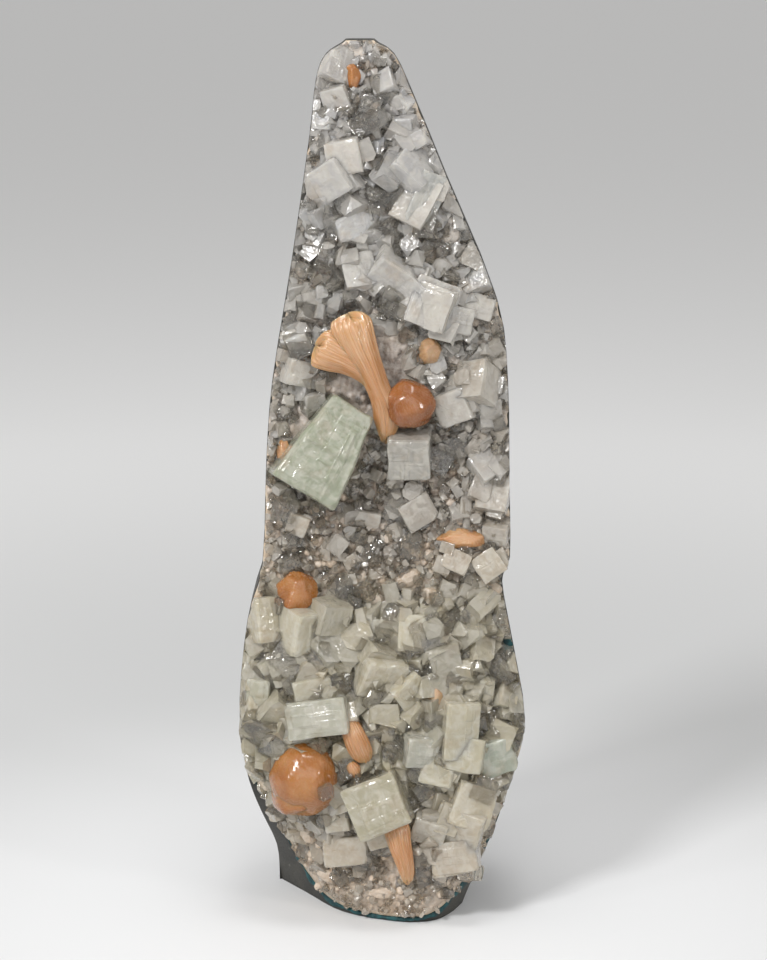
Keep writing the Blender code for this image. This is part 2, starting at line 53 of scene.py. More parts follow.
# The specimen's outline and sections as in the solids, but for the crust's lower left edge, which is drawn
# in a little further: x and z, share of the width and y, or height and y, in mm
FACE_EDGE = [
    (-50, 0), (-51, 21), (-57, 45), (-64, 74), (-66, 102), (-62, 140), (-55, 167), (-53, 213), (-50, 250),
    (-41, 304), (-33, 358), (-30, 383), (-26, 394), (-17, 400), (-4, 400), (5, 394), (14, 375), (29, 339),
    (51, 286), (56, 250), (57, 205), (57.5, 169), (54, 158), (59, 130), (65, 93), (59, 66), (49, 33), (37, 0),
]
TIP_POINT = 14
CRUST_LEFT_EDGE = [(0, 2), (-18, 2.5), (-29, 5), (-38, 13), (-43, 23), (-48, 36), (-54, 53), (-63, 72)]
CRUST_RIGHT_EDGE = [(0, 2), (16, 2.5), (26, 5.5), (35, 13), (43, 25), (50, 38), (57, 58), (61, 72)]
FOOT_FRONT = [(0, 25), (0.15, 5), (0.36, -22), (0.65, -35), (0.83, -34), (0.93, -24), (1, -10)]
BACK_DEPTH = [(0, 40), (100, 43), (200, 38), (300, 30), (370, 22), (400, 15)]
CRUST_BULGE = [
    (0, 2), (20, 4), (45, 8), (75, 10), (110, 10), (140, 7), (162, 2), (185, 0.5), (210, 1), (235, 3),
    (265, 4), (300, 6), (345, 6), (375, 4), (400, 1),
]
TOP = 400.4 * MM
RIM_HEIGHT = 72 * MM
RIM_FRONT = -26 * MM
FACE_LEAN = 0.035
FOOT_HEIGHT = 70 * MM
CRUST_DEPTH = 7 * MM

# Camera
IMAGE_WIDTH, IMAGE_HEIGHT = 767, 960
LENS, SENSOR = 100.0, 36.0
AIM = np.array((0.0, -0.025, 0.2055))
CAMERA_DISTANCE = 1.2
CAMERA_RISE = math.radians(11)
CAMERA = AIM + CAMERA_DISTANCE * np.array((0.0, -math.cos(CAMERA_RISE), math.sin(CAMERA_RISE)))
PIXELS_PER_UNIT = LENS / SENSOR * IMAGE_HEIGHT

# Zones of the face by height in mm: the colour of its crystals and of the chalcedony between them
CRYSTAL_COLOURS = [
    (0, (0.62, 0.53, 0.43)), (40, (0.62, 0.55, 0.44)), (75, (0.63, 0.58, 0.43)),
    (145, (0.62, 0.57, 0.44)), (170, (0.58, 0.52, 0.44)), (215, (0.59, 0.54, 0.47)),
    (260, (0.61, 0.58, 0.53)), (320, (0.63, 0.61, 0.58)), (400, (0.68, 0.65, 0.62)),
]
CHALCEDONY_COLOURS = [
    (0, (0.64, 0.53, 0.43)), (45, (0.60, 0.51, 0.41)), (90, (0.52, 0.46, 0.36)),
    (150, (0.52, 0.44, 0.35)), (190, (0.50, 0.42, 0.35)), (230, (0.46, 0.40, 0.35)),
    (300, (0.48, 0.44, 0.40)), (400, (0.58, 0.52, 0.46)),
]

# Where dark basalt shows along the sawn rim: height in mm and its width there
LEFT_RIM_BASALT = [
    (75, 0.2), (120, 0.3), (180, 0.3), (230, 0.6), (280, 1.0), (290, 2.2), (312, 2.0), (320, 0.6),
    (328, 2.0), (336, 1.6), (345, 0.5), (378, 0.7), (384, 1.8), (390, 0.5), (400, 0.3),
]
RIGHT_RIM_BASALT = [
    (60, 0.6), (120, 0.3), (140, 0.4), (150, 2.2), (160, 2.0), (168, 0.4), (190, 0.6), (200, 3.0),
    (218, 3.2), (226, 0.7), (280, 0.5), (305, 0.6), (312, 2.2), (328, 1.8), (335, 0.5), (344, 2.0),
    (350, 0.5), (400, 0.3),
]

# Crystals seen in the picture: pixel across and down, width and height in pixels, and roll in degrees
BLOCKS_SEEN = [
    (336, 66, 34, 34, -20), (385, 84, 22, 24, 15), (338, 98, 26, 28, 20), (399, 102, 26, 18, -25),
    (404, 124, 20, 18, 10), (408, 146, 46, 16, 28), (324, 119, 20, 24, -8), (374, 150, 18, 14, -5),
    (345, 156, 34, 34, 12), (409, 170, 38, 40, -30), (333, 178, 36, 36, 35), (417, 202, 36, 50, -28),
    (358, 224, 48, 24, 18), (389, 272, 38, 38, -35), (358, 272, 32, 34, 12), (430, 304, 50, 44, -20),
    (418, 277, 26, 22, -40), (477, 280, 26, 28, 15), (478, 307, 30, 24, -15), (322, 291, 16, 14, 10),
    (449, 331, 28, 18, 20), (298, 342, 28, 22, 25), (304, 373, 42, 26, -15), (473, 385, 44, 40, -10),
    (455, 405, 36, 34, 25), (488, 412, 24, 34, 5), (312, 400, 20, 18, 0), (488, 466, 34, 30, 35),
    (299, 523, 22, 22, -20), (289, 540, 14, 14, 0), (350, 561, 14, 13, 30), (368, 517, 26, 16, -10),
    (417, 511, 34, 30, 30), (466, 495, 12, 46, -4), (494, 494, 32, 38, -12), (496, 532, 26, 24, 0),
    (456, 561, 28, 22, -25), (490, 564, 28, 28, 35), (267, 619, 36, 46, 8), (303, 628, 42, 46, -12),
    (252, 665, 22, 28, -15), (271, 667, 22, 24, 30), (258, 700, 28, 46, -4), (311, 688, 40, 28, 8),
    (287, 722, 34, 22, -12), (302, 736, 32, 18, 3), (379, 672, 46, 44, -20), (407, 690, 34, 38, 30),
    (408, 661, 32, 18, 8), (411, 632, 28, 38, -3), (384, 627, 30, 20, 3), (465, 664, 34, 26, 15),
    (486, 693, 16, 34, -5), (507, 697, 30, 26, -10), (380, 836, 24, 24, 20), (441, 784, 30, 13, 15),
    (491, 779, 30, 22, 25), (470, 805, 42, 46, -20), (430, 828, 36, 28, -15), (337, 815, 26, 30, 10),
    (436, 770, 34, 30, -12), (343, 800, 30, 26, 24), (452, 862, 44, 26, 12), (345, 850, 44, 30, 5),
]
POINTS_SEEN = [
    (380, 60, 13, 13, 0), (366, 120, 44, 26, 28), (379, 195, 20, 40, -8), (396, 217, 18, 16, 30),
    (404, 247, 17, 16, 0), (423, 245, 18, 17, 25), (405, 294, 24, 15, 38), (311, 306, 18, 22, -10),
    (442, 456, 24, 36, -30), (287, 505, 26, 32, -15), (316, 505, 16, 24, 10), (292, 565, 24, 22, 20),
    (343, 585, 26, 22, -40), (361, 503, 20, 15, 10), (395, 501, 20, 36, -5), (414, 541, 20, 34, -8),
    (280, 644, 28, 24, -45), (285, 695, 18, 26, -15), (369, 724, 20, 28, -15), (428, 675, 14, 18, -15),
    (459, 644, 14, 18, -5), (516, 724, 22, 28, -30), (325, 815, 16, 18, 10), (421, 867, 22, 38, 10),
    (440, 879, 14, 14, 0), (331, 700, 15, 18, 20), (466, 836, 18, 18, 10), (388, 736, 14, 18, -12),
]
LONG_BLADES_SEEN = [
    (466, 616, 46, 12, 52), (316, 217, 12, 34, -12), (352, 205, 12, 36, 24), (474, 545, 30, 8, 8),
]
KNOBS_SEEN = [
    (354, 53, 30, 20, 0), (323, 139, 20, 22, 8), (451, 228, 20, 38, 22), (463, 252, 20, 20, 0),
    (322, 252, 20, 22, 0), (488, 324, 20, 22, 0), (475, 447, 32, 15, -8), (471, 592, 20, 18, 0),
    (493, 590, 22, 18, 0), (407, 579, 40, 22, 20), (507, 670, 28, 18, 8), (518, 748, 18, 20, 0),
    (310, 833, 24, 26, 0), (265, 780, 18, 30, 25), (451, 796, 22, 18, 0), (330, 876, 34, 18, -20),
    (385, 893, 40, 14, 0), (292, 803, 18, 20, 0), (430, 595, 26, 20, -14), (374, 600, 24, 16, 8),
    (300, 850, 14, 20, 20), (410, 878, 26, 14, 0), (395, 130, 16, 12, 0), (347, 520, 22, 18, 0),
]


def smooth_curve(points, steps):
    """Between two points, a cubic whose slope at each is half the step between its two neighbours."""
    given = np.array(points, float)
    line = np.vstack([2 * given[0] - given[1], given, 2 * given[-1] - given[-2]])
    t = (np.arange(steps) / steps)[:, None, None]
    before, start, end, after = (line[i:len(line) - 3 + i] for i in range(4))
    squared = (2 * before - 5 * start + 4 * end - after) * t ** 2
    cubed = (3 * start - before - 3 * end + after) * t ** 3
    curve = 0.5 * (2 * start + (end - before) * t + (squared + cubed))
    return np.vstack([curve.transpose(1, 0, 2).reshape(-1, given.shape[1]), given[-1:]])


def smooth_step(value):
    """Three times the square less twice the cube, for a value held from 0 to 1."""
    inside = np.clip(value, 0.0, 1.0)
    return inside * inside * (3.0 - 2.0 * inside)


LEFT_EDGE = smooth_curve(FACE_EDGE[:TIP_POINT], 3) * MM
RIGHT_EDGE = smooth_curve(FACE_EDGE[TIP_POINT:], 3)[::-1] * MM
FOOT_CURVE = smooth_curve(FOOT_FRONT, 4)
CRUST_LEFT = smooth_curve(CRUST_LEFT_EDGE, 3) * MM
CRUST_RIGHT = smooth_curve(CRUST_RIGHT_EDGE, 3) * MM


def by_height(table, z):
    """A value, or a colour, read off a table of heights in mm by straight lines between its rows."""
    heights = [row[0] for row in table]
    values = np.array([row[1] for row in table], float)
    if values.ndim == 1:
        return np.interp(z / MM, heights, values)
    return np.stack([np.interp(z / MM, heights, channel) for channel in values.T], axis=-1)


def width_at(z):
    """x of the left and the right edge of the face at a height."""
    left = np.interp(z, LEFT_EDGE[:, 1], LEFT_EDGE[:, 0])
    right = np.interp(z, RIGHT_EDGE[:, 1], RIGHT_EDGE[:, 0])
    return left, right


def crust_width_at(z):
    """x of the left and the right edge of the crust: the face's own, drawn in below the rim's foot."""
    left, right = width_at(z)
    low_left = np.interp(z, CRUST_LEFT[:, 1], CRUST_LEFT[:, 0])
    low_right = np.interp(z, CRUST_RIGHT[:, 1], CRUST_RIGHT[:, 0])
    low = z < RIM_HEIGHT
    return np.where(low, np.maximum(left, low_left), left), np.where(low, np.minimum(right, low_right), right)


def inside_crust(x, z):
    """Distance in from the crust's edge, sideways or up, whichever is less."""
    left, right = crust_width_at(z)
    low_edge = np.vstack([CRUST_LEFT[::-1], CRUST_RIGHT[1:]])
    above = z - np.interp(x, low_edge[:, 0], low_edge[:, 1])
    return np.minimum(np.minimum(x - left, right - x), np.minimum(above, TOP - z))


def share_of_width(x, z):
    """0 at the left edge of the face and 1 at the right edge."""
    left, right = width_at(z)
    return (x - left) / (right - left)


def front_y(share, z):
    """y of the sawn front: a plane that leans back, blended into the foot's curved front near the base."""
    plane = RIM_FRONT + FACE_LEAN * z
    foot = np.interp(share, FOOT_CURVE[:, 0], FOOT_CURVE[:, 1]) * MM
    return foot + (plane - foot) * smooth_step(z / FOOT_HEIGHT)


def lattice_chance(cells, seed):
    """A number from 0 to 1 for each cell: the fraction of a large multiple of a sine of its three indices."""
    key = cells[..., 0] * 127.1 + cells[..., 1] * 311.7 + cells[..., 2] * 74.7 + seed * 53.3
    return np.abs(np.sin(key) * 43758.5453) % 1.0


def soft_noise(place, size, seed=0):
    """From -1 to 1: chance values on a cubic lattice of this size, blended between the eight corners."""
    scaled = place / size
    low = np.floor(scaled)
    blend = smooth_step(scaled - low)
    total = np.zeros(place.shape[:-1])
    for corner in product((0, 1), repeat=3):
        share = np.prod(np.where(np.array(corner) == 1, blend, 1.0 - blend), axis=-1)
        total += share * lattice_chance(low + corner, seed)
    return 2.0 * total - 1.0


def crust_level(x, z):
    """y of the crust's even front: the sawn plane moved forward by the bulge, level at both rims."""
    share = np.clip(share_of_width(x, z), 0.0, 1.0)
    inside = 1.0 - np.abs(2.0 * share - 1.0) ** 4
    return front_y(share, z) - by_height(CRUST_BULGE, z) * MM * inside


def crust_y(x, z):
    """y of the crust's front: its even front, raised and sunk by soft noise away from the rims."""
    share = np.clip(share_of_width(x, z), 0.0, 1.0)
    inside = 1.0 - np.abs(2.0 * share - 1.0) ** 4
    place = np.stack([x, np.zeros_like(x), z], axis=-1)
    return crust_level(x, z) - 1.8 * MM * soft_noise(place, 14 * MM) * inside


def behind_pixels(px, py, forward=0.0, surface=crust_y):
    """Places on the face behind pixels of the picture: each camera ray is followed to the surface's y,
    less the distance forward, and again from the place found, ten times."""
    across = (np.asarray(px, float) - IMAGE_WIDTH / 2) / PIXELS_PER_UNIT
    up = (IMAGE_HEIGHT / 2 - np.asarray(py, float)) / PIXELS_PER_UNIT
    ahead = math.cos(CAMERA_RISE) + up * math.sin(CAMERA_RISE)
    rise = up * math.cos(CAMERA_RISE) - math.sin(CAMERA_RISE)
    y = np.full_like(across, RIM_FRONT)
    for _ in range(10):
        travel = (y - CAMERA[1]) / ahead
        x, z = across * travel, CAMERA[2] + rise * travel
        y = surface(x, z) - forward
    return np.stack([x, y, z], axis=-1)


SIZE_OF_PIXEL = 0.456 * MM


# Meshes

def ring_faces(rings, sides):
    """Quads between rings of points that each close on themselves."""
    lower = np.arange(rings - 1)[:, None] * sides
    here, beside = np.arange(sides), (np.arange(sides) + 1) % sides
    quads = [lower + here, lower + beside, lower + sides + beside, lower + sides + here]
    return np.stack(quads, -1).reshape(-1, 4)


def closed_rings(rings):
    """Points and faces of a surface through rings, closed at each end by a fan of triangles to its middle."""
    count, sides, _ = rings.shape
    points = np.vstack([rings.reshape(-1, 3), rings[:1].mean(axis=1), rings[-1:].mean(axis=1)])
    here, beside = np.arange(sides), (np.arange(sides) + 1) % sides
    last = (count - 1) * sides
    start = np.stack([beside, here, np.full(sides, count * sides)], -1)
    end = np.stack([last + here, last + beside, np.full(sides, count * sides + 1)], -1)
    return points, [ring_faces(count, sides), start, end]


def with_ends(values):
    """Values of the points of rings, followed by the means of the first and the last ring."""
    ends = [values[:1].mean(axis=1), values[-1:].mean(axis=1)]
    return np.concatenate([values.reshape(-1, *values.shape[2:]), *ends])


def volume_of(points, faces):
    """Volume inside closed faces: a sixth of the triple product of each triangle of each face's fan."""
    total = 0.0
    for group in faces:
        for i in range(1, group.shape[1] - 1):
            a, b, c = points[group[:, 0]], points[group[:, i]], points[group[:, i + 1]]
            total += np.sum(a * np.cross(b, c)) / 6.0
    return total


ATTRIBUTE_KINDS = {1: ("FLOAT", "value"), 3: ("FLOAT_VECTOR", "vector"), 4: ("FLOAT_COLOR", "color")}


def new_piece(name, points, faces, material, smooth=True, slot=None, stands_for=(), **values):
    """A mesh object of the specimen, with faces turned outward and one attribute for each named value."""
    if volume_of(points - points.mean(axis=0), faces) < 0:
        faces = [group[:, ::-1] for group in faces]
    mesh = bpy.data.meshes.new(name)
    corners = np.concatenate([group.ravel() for group in faces]).astype(np.int32)
    sizes = np.concatenate([np.full(len(group), group.shape[1]) for group in faces])
    mesh.vertices.add(len(points))
    mesh.vertices.foreach_set("co", np.ascontiguousarray(points, np.float32).ravel())
    mesh.loops.add(len(corners))
    mesh.loops.foreach_set("vertex_index", corners)
    mesh.polygons.add(len(sizes))
    mesh.polygons.foreach_set("loop_start", (np.cumsum(sizes) - sizes).astype(np.int32))
    mesh.update(calc_edges=True)
    for key, value in values.items():
        wide = value.shape[1] if value.ndim == 2 else 1
        kind, field = ATTRIBUTE_KINDS[wide]
        attribute = mesh.attributes.new(key, kind, "POINT")
        attribute.data.foreach_set(field, np.ascontiguousarray(value, np.float32).ravel())
    if smooth:
        mesh.shade_smooth()
    else:
        mesh.shade_flat()
    mesh.validate()
    mesh.materials.append(material)
    piece = bpy.data.objects.new(name, mesh)
    bpy.context.scene.collection.objects.link(piece)
    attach(piece, "root")
    if stands_for:
        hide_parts(*stands_for)
    return piece


def add_bevel(piece, width):
    """Rounds the edges of a flat-faced piece a little, so that they catch the light."""
    bevel = piece.modifiers.new("edge wear", "BEVEL")
    bevel.width = width
    bevel.segments = 2
    bevel.limit_method = "ANGLE"
    bevel.angle_limit = math.radians(25)


def colour_rows(colour):
    """Colours with an alpha of 1."""
    return np.concatenate([colour, np.ones((*colour.shape[:-1], 1))], axis=-1)


# Crystals, many at a time

BOX_CORNERS = np.array(list(product((-1, 1), repeat=3)), float)
AXES = np.eye(3)


def faces_of_form(points, normals):
    """The flat faces of a convex form: for each direction, the points furthest along it, in turn round it."""
    faces = []
    for normal in np.array(normals, float):
        reach = points @ normal
        ids = np.flatnonzero(reach > reach.max() - 1e-6)
        middle = points[ids].mean(axis=0)
        across = points[ids[0]] - middle
        side = np.cross(normal, across)
        angle = np.arctan2((points[ids] - middle) @ side * np.linalg.norm(across),
                           (points[ids] - middle) @ across * np.linalg.norm(side))
        faces.append(ids[np.argsort(angle)])
    sizes = sorted({len(face) for face in faces})
    return [np.array([face for face in faces if len(face) == size]) for size in sizes]


def cut_boxes(half, cut):
    """Boxes of these half sizes with their eight corners cut off: each corner becomes three points, moved in
    along one axis each by the cut."""
    signs = np.repeat(BOX_CORNERS, 3, axis=0)
    moved = np.tile(AXES, (8, 1))
    return signs[None] * (half[:, None, :] - cut[:, None, None] * moved[None])


def stepped_blocks(half, cut, taper, chance, front=7, deep=6, back=3, sides=40, terraces=5):
    """Large crystals as closed grids. Round the depth axis each ring is a square; along it the square grows
    over the front face, runs back along the sides and shrinks over the back. The sum of two or three of the
    shares of the half sizes is held under a limit, which cuts the edges and corners, and rectangles of
    chance size stand out of the front as low growth terraces."""
    grow = np.concatenate([np.arange(1, front + 1) / front, np.ones(deep), np.arange(back, 0, -1) / back])
    depth = np.concatenate([np.full(front, -1.0), np.linspace(-1, 1, deep + 2)[1:-1], np.ones(back)])
    turn = 2 * math.pi * np.arange(sides) / sides
    circle = np.stack([np.cos(turn), np.sin(turn)], -1)
    square = circle / np.abs(circle).max(axis=1, keepdims=True)
    across, up = grow[:, None] * square[:, 0], grow[:, None] * square[:, 1]
    unit = np.stack([across, depth[:, None] * np.ones(sides), up], -1)
    count = len(half)
    share = np.abs(unit)[None] * np.ones((count, 1, 1, 1))
    for first, second in ((0, 1), (1, 2), (0, 2)):
        limit = chance.uniform(1.90, 1.97, (count, 1, 1))
        over = np.clip(share[..., first] + share[..., second] - limit, 0, None) / 2
        share[..., first] -= over
        share[..., second] -= over
    corner = (unit > 0) @ np.array((1, 2, 4))
    corner_cut = (cut / half.min(axis=1))[:, None, None] * chance.uniform(0.6, 1.4, (count, 8))[:, corner]
    share -= np.clip(share.sum(axis=-1) - 3.0 + corner_cut, 0, None)[..., None] / 3
    points = np.sign(unit)[None] * share * half[:, None, None, :]
    raised = np.zeros(points.shape[:3])
    flat = half[:, None, None, [0, 2]]
    for _ in range(terraces):
        place = chance.uniform(-0.8, 0.8, (count, 1, 1, 2)) * flat
        reach = chance.uniform(0.25, 0.85, (count, 1, 1, 2)) * flat
        soft = (reach - np.abs(points[..., [0, 2]] - place)) / (0.06 * flat)
        step = chance.uniform(0.012, 0.035, (count, 1, 1)) * half.min(axis=1)[:, None, None]
        raised += np.prod(smooth_step(soft), axis=-1) * step
    on_front = (depth < -0.9) * smooth_step((1.0 - grow) / 0.04)
    points[..., 1] -= raised * on_front[None, :, None]
    rise = np.clip(points[..., 2] / half[:, None, None, 2] * 0.5 + 0.5, 0.0, 1.0)
    points[..., 0] *= 1.0 - (1.0 - taper) * rise
    start = chance.uniform(0, 50, (count, 1, 1, 3))
    points *= 1.0 + 0.035 * soft_noise(unit[None] * 1.6 + start, 1.0, 3)[..., None]
    return points


def block_faces(count, rings, sides):
    """Faces of so many closed grids, their poles added behind each grid's own points."""
    _, single = closed_rings(np.zeros((rings, sides, 3)))
    offset = np.arange(count)[:, None, None] * (rings * sides + 2)
    return [(group[None] + offset).reshape(-1, group.shape[1]) for group in single]


CUT_BOX_FACES = faces_of_form(
    cut_boxes(np.ones((1, 3)), np.array([0.3]))[0],
    [*AXES, *-AXES, *BOX_CORNERS],
)


def pointed_prisms(half, shoulder, tip, sides):
    """Prisms along z that end in a point: rings at the foot and the shoulder of full width, and one at the
    tip drawn in to a share of it."""
    angle = 2 * math.pi * (np.arange(sides) + 0.5) / sides
    ring = np.stack([np.cos(angle), np.sin(angle)], -1) / math.cos(math.pi / sides)
    count = len(half)
    heights = np.stack([np.full(count, -1.0), shoulder, np.ones(count)], -1)
    widths = np.stack([np.full(count, 0.92), np.ones(count), tip], -1)
    flat = ring[None, None] * widths[:, :, None, None]
    level = np.broadcast_to(heights[:, :, None, None], (count, 3, sides, 1))
    return (np.concatenate([flat, level], -1) * half[:, None, None, :]).reshape(count, 3 * sides, 3)


def prism_faces(sides):
    """Side and point faces of a pointed prism, and its two ends."""
    ends = np.stack([np.arange(sides)[::-1], 2 * sides + np.arange(sides)])
    return [ring_faces(3, sides), ends] if sides != 4 else [np.vstack([ring_faces(3, 4), ends])]


def rounded_knobs(half, rings=6, sides=8):
    """Rounded lumps: points on a sphere by height and turn, times the half sizes."""
    rise = (np.arange(rings) + 0.5) / rings * math.pi
    turn = 2 * math.pi * np.arange(sides) / sides
    sphere = np.stack([
        np.sin(rise)[:, None] * np.cos(turn), np.sin(rise)[:, None] * np.sin(turn),
        np.cos(rise)[:, None] * np.ones(sides),
    ], -1).reshape(-1, 3)
    return sphere[None] * half[:, None, :]


def knob_faces(rings=6, sides=8):
    """Faces of a rounded lump, with a flat cap at each end."""
    caps = np.stack([np.arange(sides)[::-1], (rings - 1) * sides + np.arange(sides)])
    return [ring_faces(rings, sides), caps]


def picture_turns(roll, turn, tip):
    """Turning matrices in degrees: a roll in the plane of the picture, then a turn about the upright, then
    a tip towards the viewer."""
    roll, turn, tip = (np.radians(np.asarray(angle, float)) for angle in (-roll, turn, tip))
    zero, one = np.zeros_like(roll), np.ones_like(roll)
    cosine, sine = np.cos([roll, turn, tip]), np.sin([roll, turn, tip])
    about_y = np.array([[cosine[0], zero, sine[0]], [zero, one, zero], [-sine[0], zero, cosine[0]]])
    about_z = np.array([[cosine[1], -sine[1], zero], [sine[1], cosine[1], zero], [zero, zero, one]])
    about_x = np.array([[one, zero, zero], [zero, cosine[2], -sine[2]], [zero, sine[2], cosine[2]]])
    return np.einsum("ijn,jkn,kln->nil", about_x, about_z, about_y)


def leaning_turns(chance, count, spread):
    """Turning matrices whose z axis points out of the face, less or more aslant, at any turn about itself."""
    out = np.array((0.0, -1.0, 0.12)) + spread * chance.normal(size=(count, 3))
    out /= np.linalg.norm(out, axis=1)[:, None]
    side = np.cross(out, chance.normal(size=(count, 3)))
    side /= np.linalg.norm(side, axis=1)[:, None]
    return np.stack([side, np.cross(out, side), out], axis=-1)


def sawn_flush(points):
    """Points beyond the sawn sides or top moved back to them, as the saw left them."""
    left, right = width_at(points[..., 2])
    flush = points.copy()
    flush[..., 2] = np.clip(points[..., 2], 1.5 * MM, TOP)
    flush[..., 0] = np.clip(points[..., 0], left + 0.3 * MM, right - 0.3 * MM)
    return flush


def set_out(forms, turns, places):
    """Points of many crystals, each form turned, moved to its place and cut flush at the sawn rim."""
    return sawn_flush(np.einsum("nij,nkj->nki", turns, forms) + places[:, None, :])


CORNER_SHAKE = 0.09
GRAIN_REACH = 60


class Druse:
    """Crystals gathered for one piece: their points, faces, colours and their own grain."""

    def __init__(self):
        self.points, self.tints, self.grains, self.faces, self.count = [], [], [], {}, 0

    @staticmethod
    def grain_of(forms, chance):
        """The place in each crystal in mm, from a chance start."""
        start = chance.uniform(-GRAIN_REACH, GRAIN_REACH, (len(forms), 1, 3))
        return (forms / MM + start).reshape(-1, 3)

    def add(self, forms, faces, turns, places, tints, chance):
        """Adds crystals of one form, each corner a little out of place."""
        number, corners, _ = forms.shape
        shake = CORNER_SHAKE * np.abs(forms).mean(axis=(1, 2), keepdims=True)
        shaken = forms + shake * chance.normal(size=forms.shape)
        self.points.append(set_out(shaken, turns, places).reshape(-1, 3))
        self.tints.append(np.repeat(tints, corners, axis=0))
        self.grains.append(self.grain_of(forms, chance))
        offset = self.count + np.arange(number)[:, None, None] * corners
        for group in faces:
            sides = group.shape[1]
            self.faces.setdefault(sides, []).append((group[None] + offset).reshape(-1, sides))
        self.count += number * corners

    def add_grids(self, blocks, turns, places, tints, chance):
        """Adds large crystals that are closed grids, with their two poles."""
        number, rings, sides, _ = blocks.shape
        poles = np.stack([blocks[:, 0].mean(axis=1), blocks[:, -1].mean(axis=1)], axis=1)
        forms = np.concatenate([blocks.reshape(number, rings * sides, 3), poles], axis=1)
        self.points.append(set_out(forms, turns, places).reshape(-1, 3))
        self.tints.append(np.repeat(tints, rings * sides + 2, axis=0))
        self.grains.append(self.grain_of(forms, chance))
        for group in block_faces(number, rings, sides):
            self.faces.setdefault(group.shape[1], []).append(group + self.count)
        self.count += number * (rings * sides + 2)

    def piece(self, name, material, **options):
        """The gathered crystals as one flat-faced piece."""
        faces = [np.vstack(groups) for groups in self.faces.values()]
        tint = colour_rows(np.vstack(self.tints))
        return new_piece(name, np.vstack(self.points), faces, material, smooth=False, tint=tint,
                         grain=np.vstack(self.grains), **options)


def tints_at(chance, places, spread=0.07):
    """Crystal colours by height, each a little lighter or darker and a little warmer or cooler."""
    colour = by_height(CRYSTAL_COLOURS, places[:, 2])
    lighter = 1.0 + spread * chance.normal(size=(len(places), 1))
    warmer = 0.012 * chance.normal(size=(len(places), 1)) * np.array([[1.0, 0.2, -1.0]])
    return np.clip(colour * lighter + warmer, 0.05, 0.9)


# Materials

def new_material(name):
    """A Principled material, its node tree and its shader."""
    material = bpy.data.materials.new(name)
    material.use_nodes = True
    tree = material.node_tree
    return material, tree, tree.nodes["Principled BSDF"]


def add_node(tree, kind, inputs, **settings):
    """A node with its settings and inputs, each a value or the socket that feeds it."""
    node = tree.nodes.new("ShaderNode" + kind)
    for key, value in settings.items():
        setattr(node, key, value)
    for key, value in inputs.items():
        if isinstance(value, bpy.types.NodeSocket):
            tree.links.new(value, node.inputs[key])
        else:
            node.inputs[key].default_value = value
    return node


def set_shader(tree, shader, **inputs):
    """Sets the shader's own sockets, named with underscores."""
    for key, value in inputs.items():
        socket = shader.inputs[key.replace("_", " ")]
        if isinstance(value, bpy.types.NodeSocket):
            tree.links.new(value, socket)
        else:
            socket.default_value = value


def object_place(tree):
    """Place on the specimen in metres."""
    return add_node(tree, "TexCoord", {}).outputs["Object"]


def stretched(tree, vector, scale):
    """A place scaled differently along each axis."""
    return add_node(tree, "Mapping", {"Vector": vector, "Scale": scale}).outputs["Vector"]


def noise_of(tree, vector, scale, detail=3.0, roughness=0.55, distortion=0.0):
    """Soft noise from 0 to 1 with so many features for each unit of length."""
    inputs = {"Vector": vector, "Scale": scale, "Detail": detail, "Roughness": roughness,
              "Distortion": distortion}
    return add_node(tree, "TexNoise", inputs).outputs["Fac"]


def in_range(tree, value, low, high, to_low=0.0, to_high=1.0):
    """A value brought from one range to another, smoothly, and held there."""
    inputs = {"Value": value, "From Min": low, "From Max": high, "To Min": to_low, "To Max": to_high}
    return add_node(tree, "MapRange", inputs, interpolation_type="SMOOTHSTEP").outputs["Result"]


def mixed(tree, share, first, second, blend="MIX"):
    """Two colours mixed by a share."""
    node = add_node(tree, "Mix", {}, data_type="RGBA", blend_type=blend)
    for index, value in ((0, share), (6, first), (7, second)):
        if isinstance(value, bpy.types.NodeSocket):
            tree.links.new(value, node.inputs[index])
        else:
            node.inputs[index].default_value = value if index == 0 else (*value, 1.0)
    return node.outputs[2]


def summed(tree, first, second, how="ADD"):
    """Two values added, or joined in another way."""
    return add_node(tree, "Math", {0: first, 1: second}, operation=how).outputs[0]


def bumped(tree, height, strength, distance):
    """The surface's normal, tilted by a height."""
    inputs = {"Height": height, "Strength": strength, "Distance": distance}
    return add_node(tree, "Bump", inputs).outputs["Normal"]


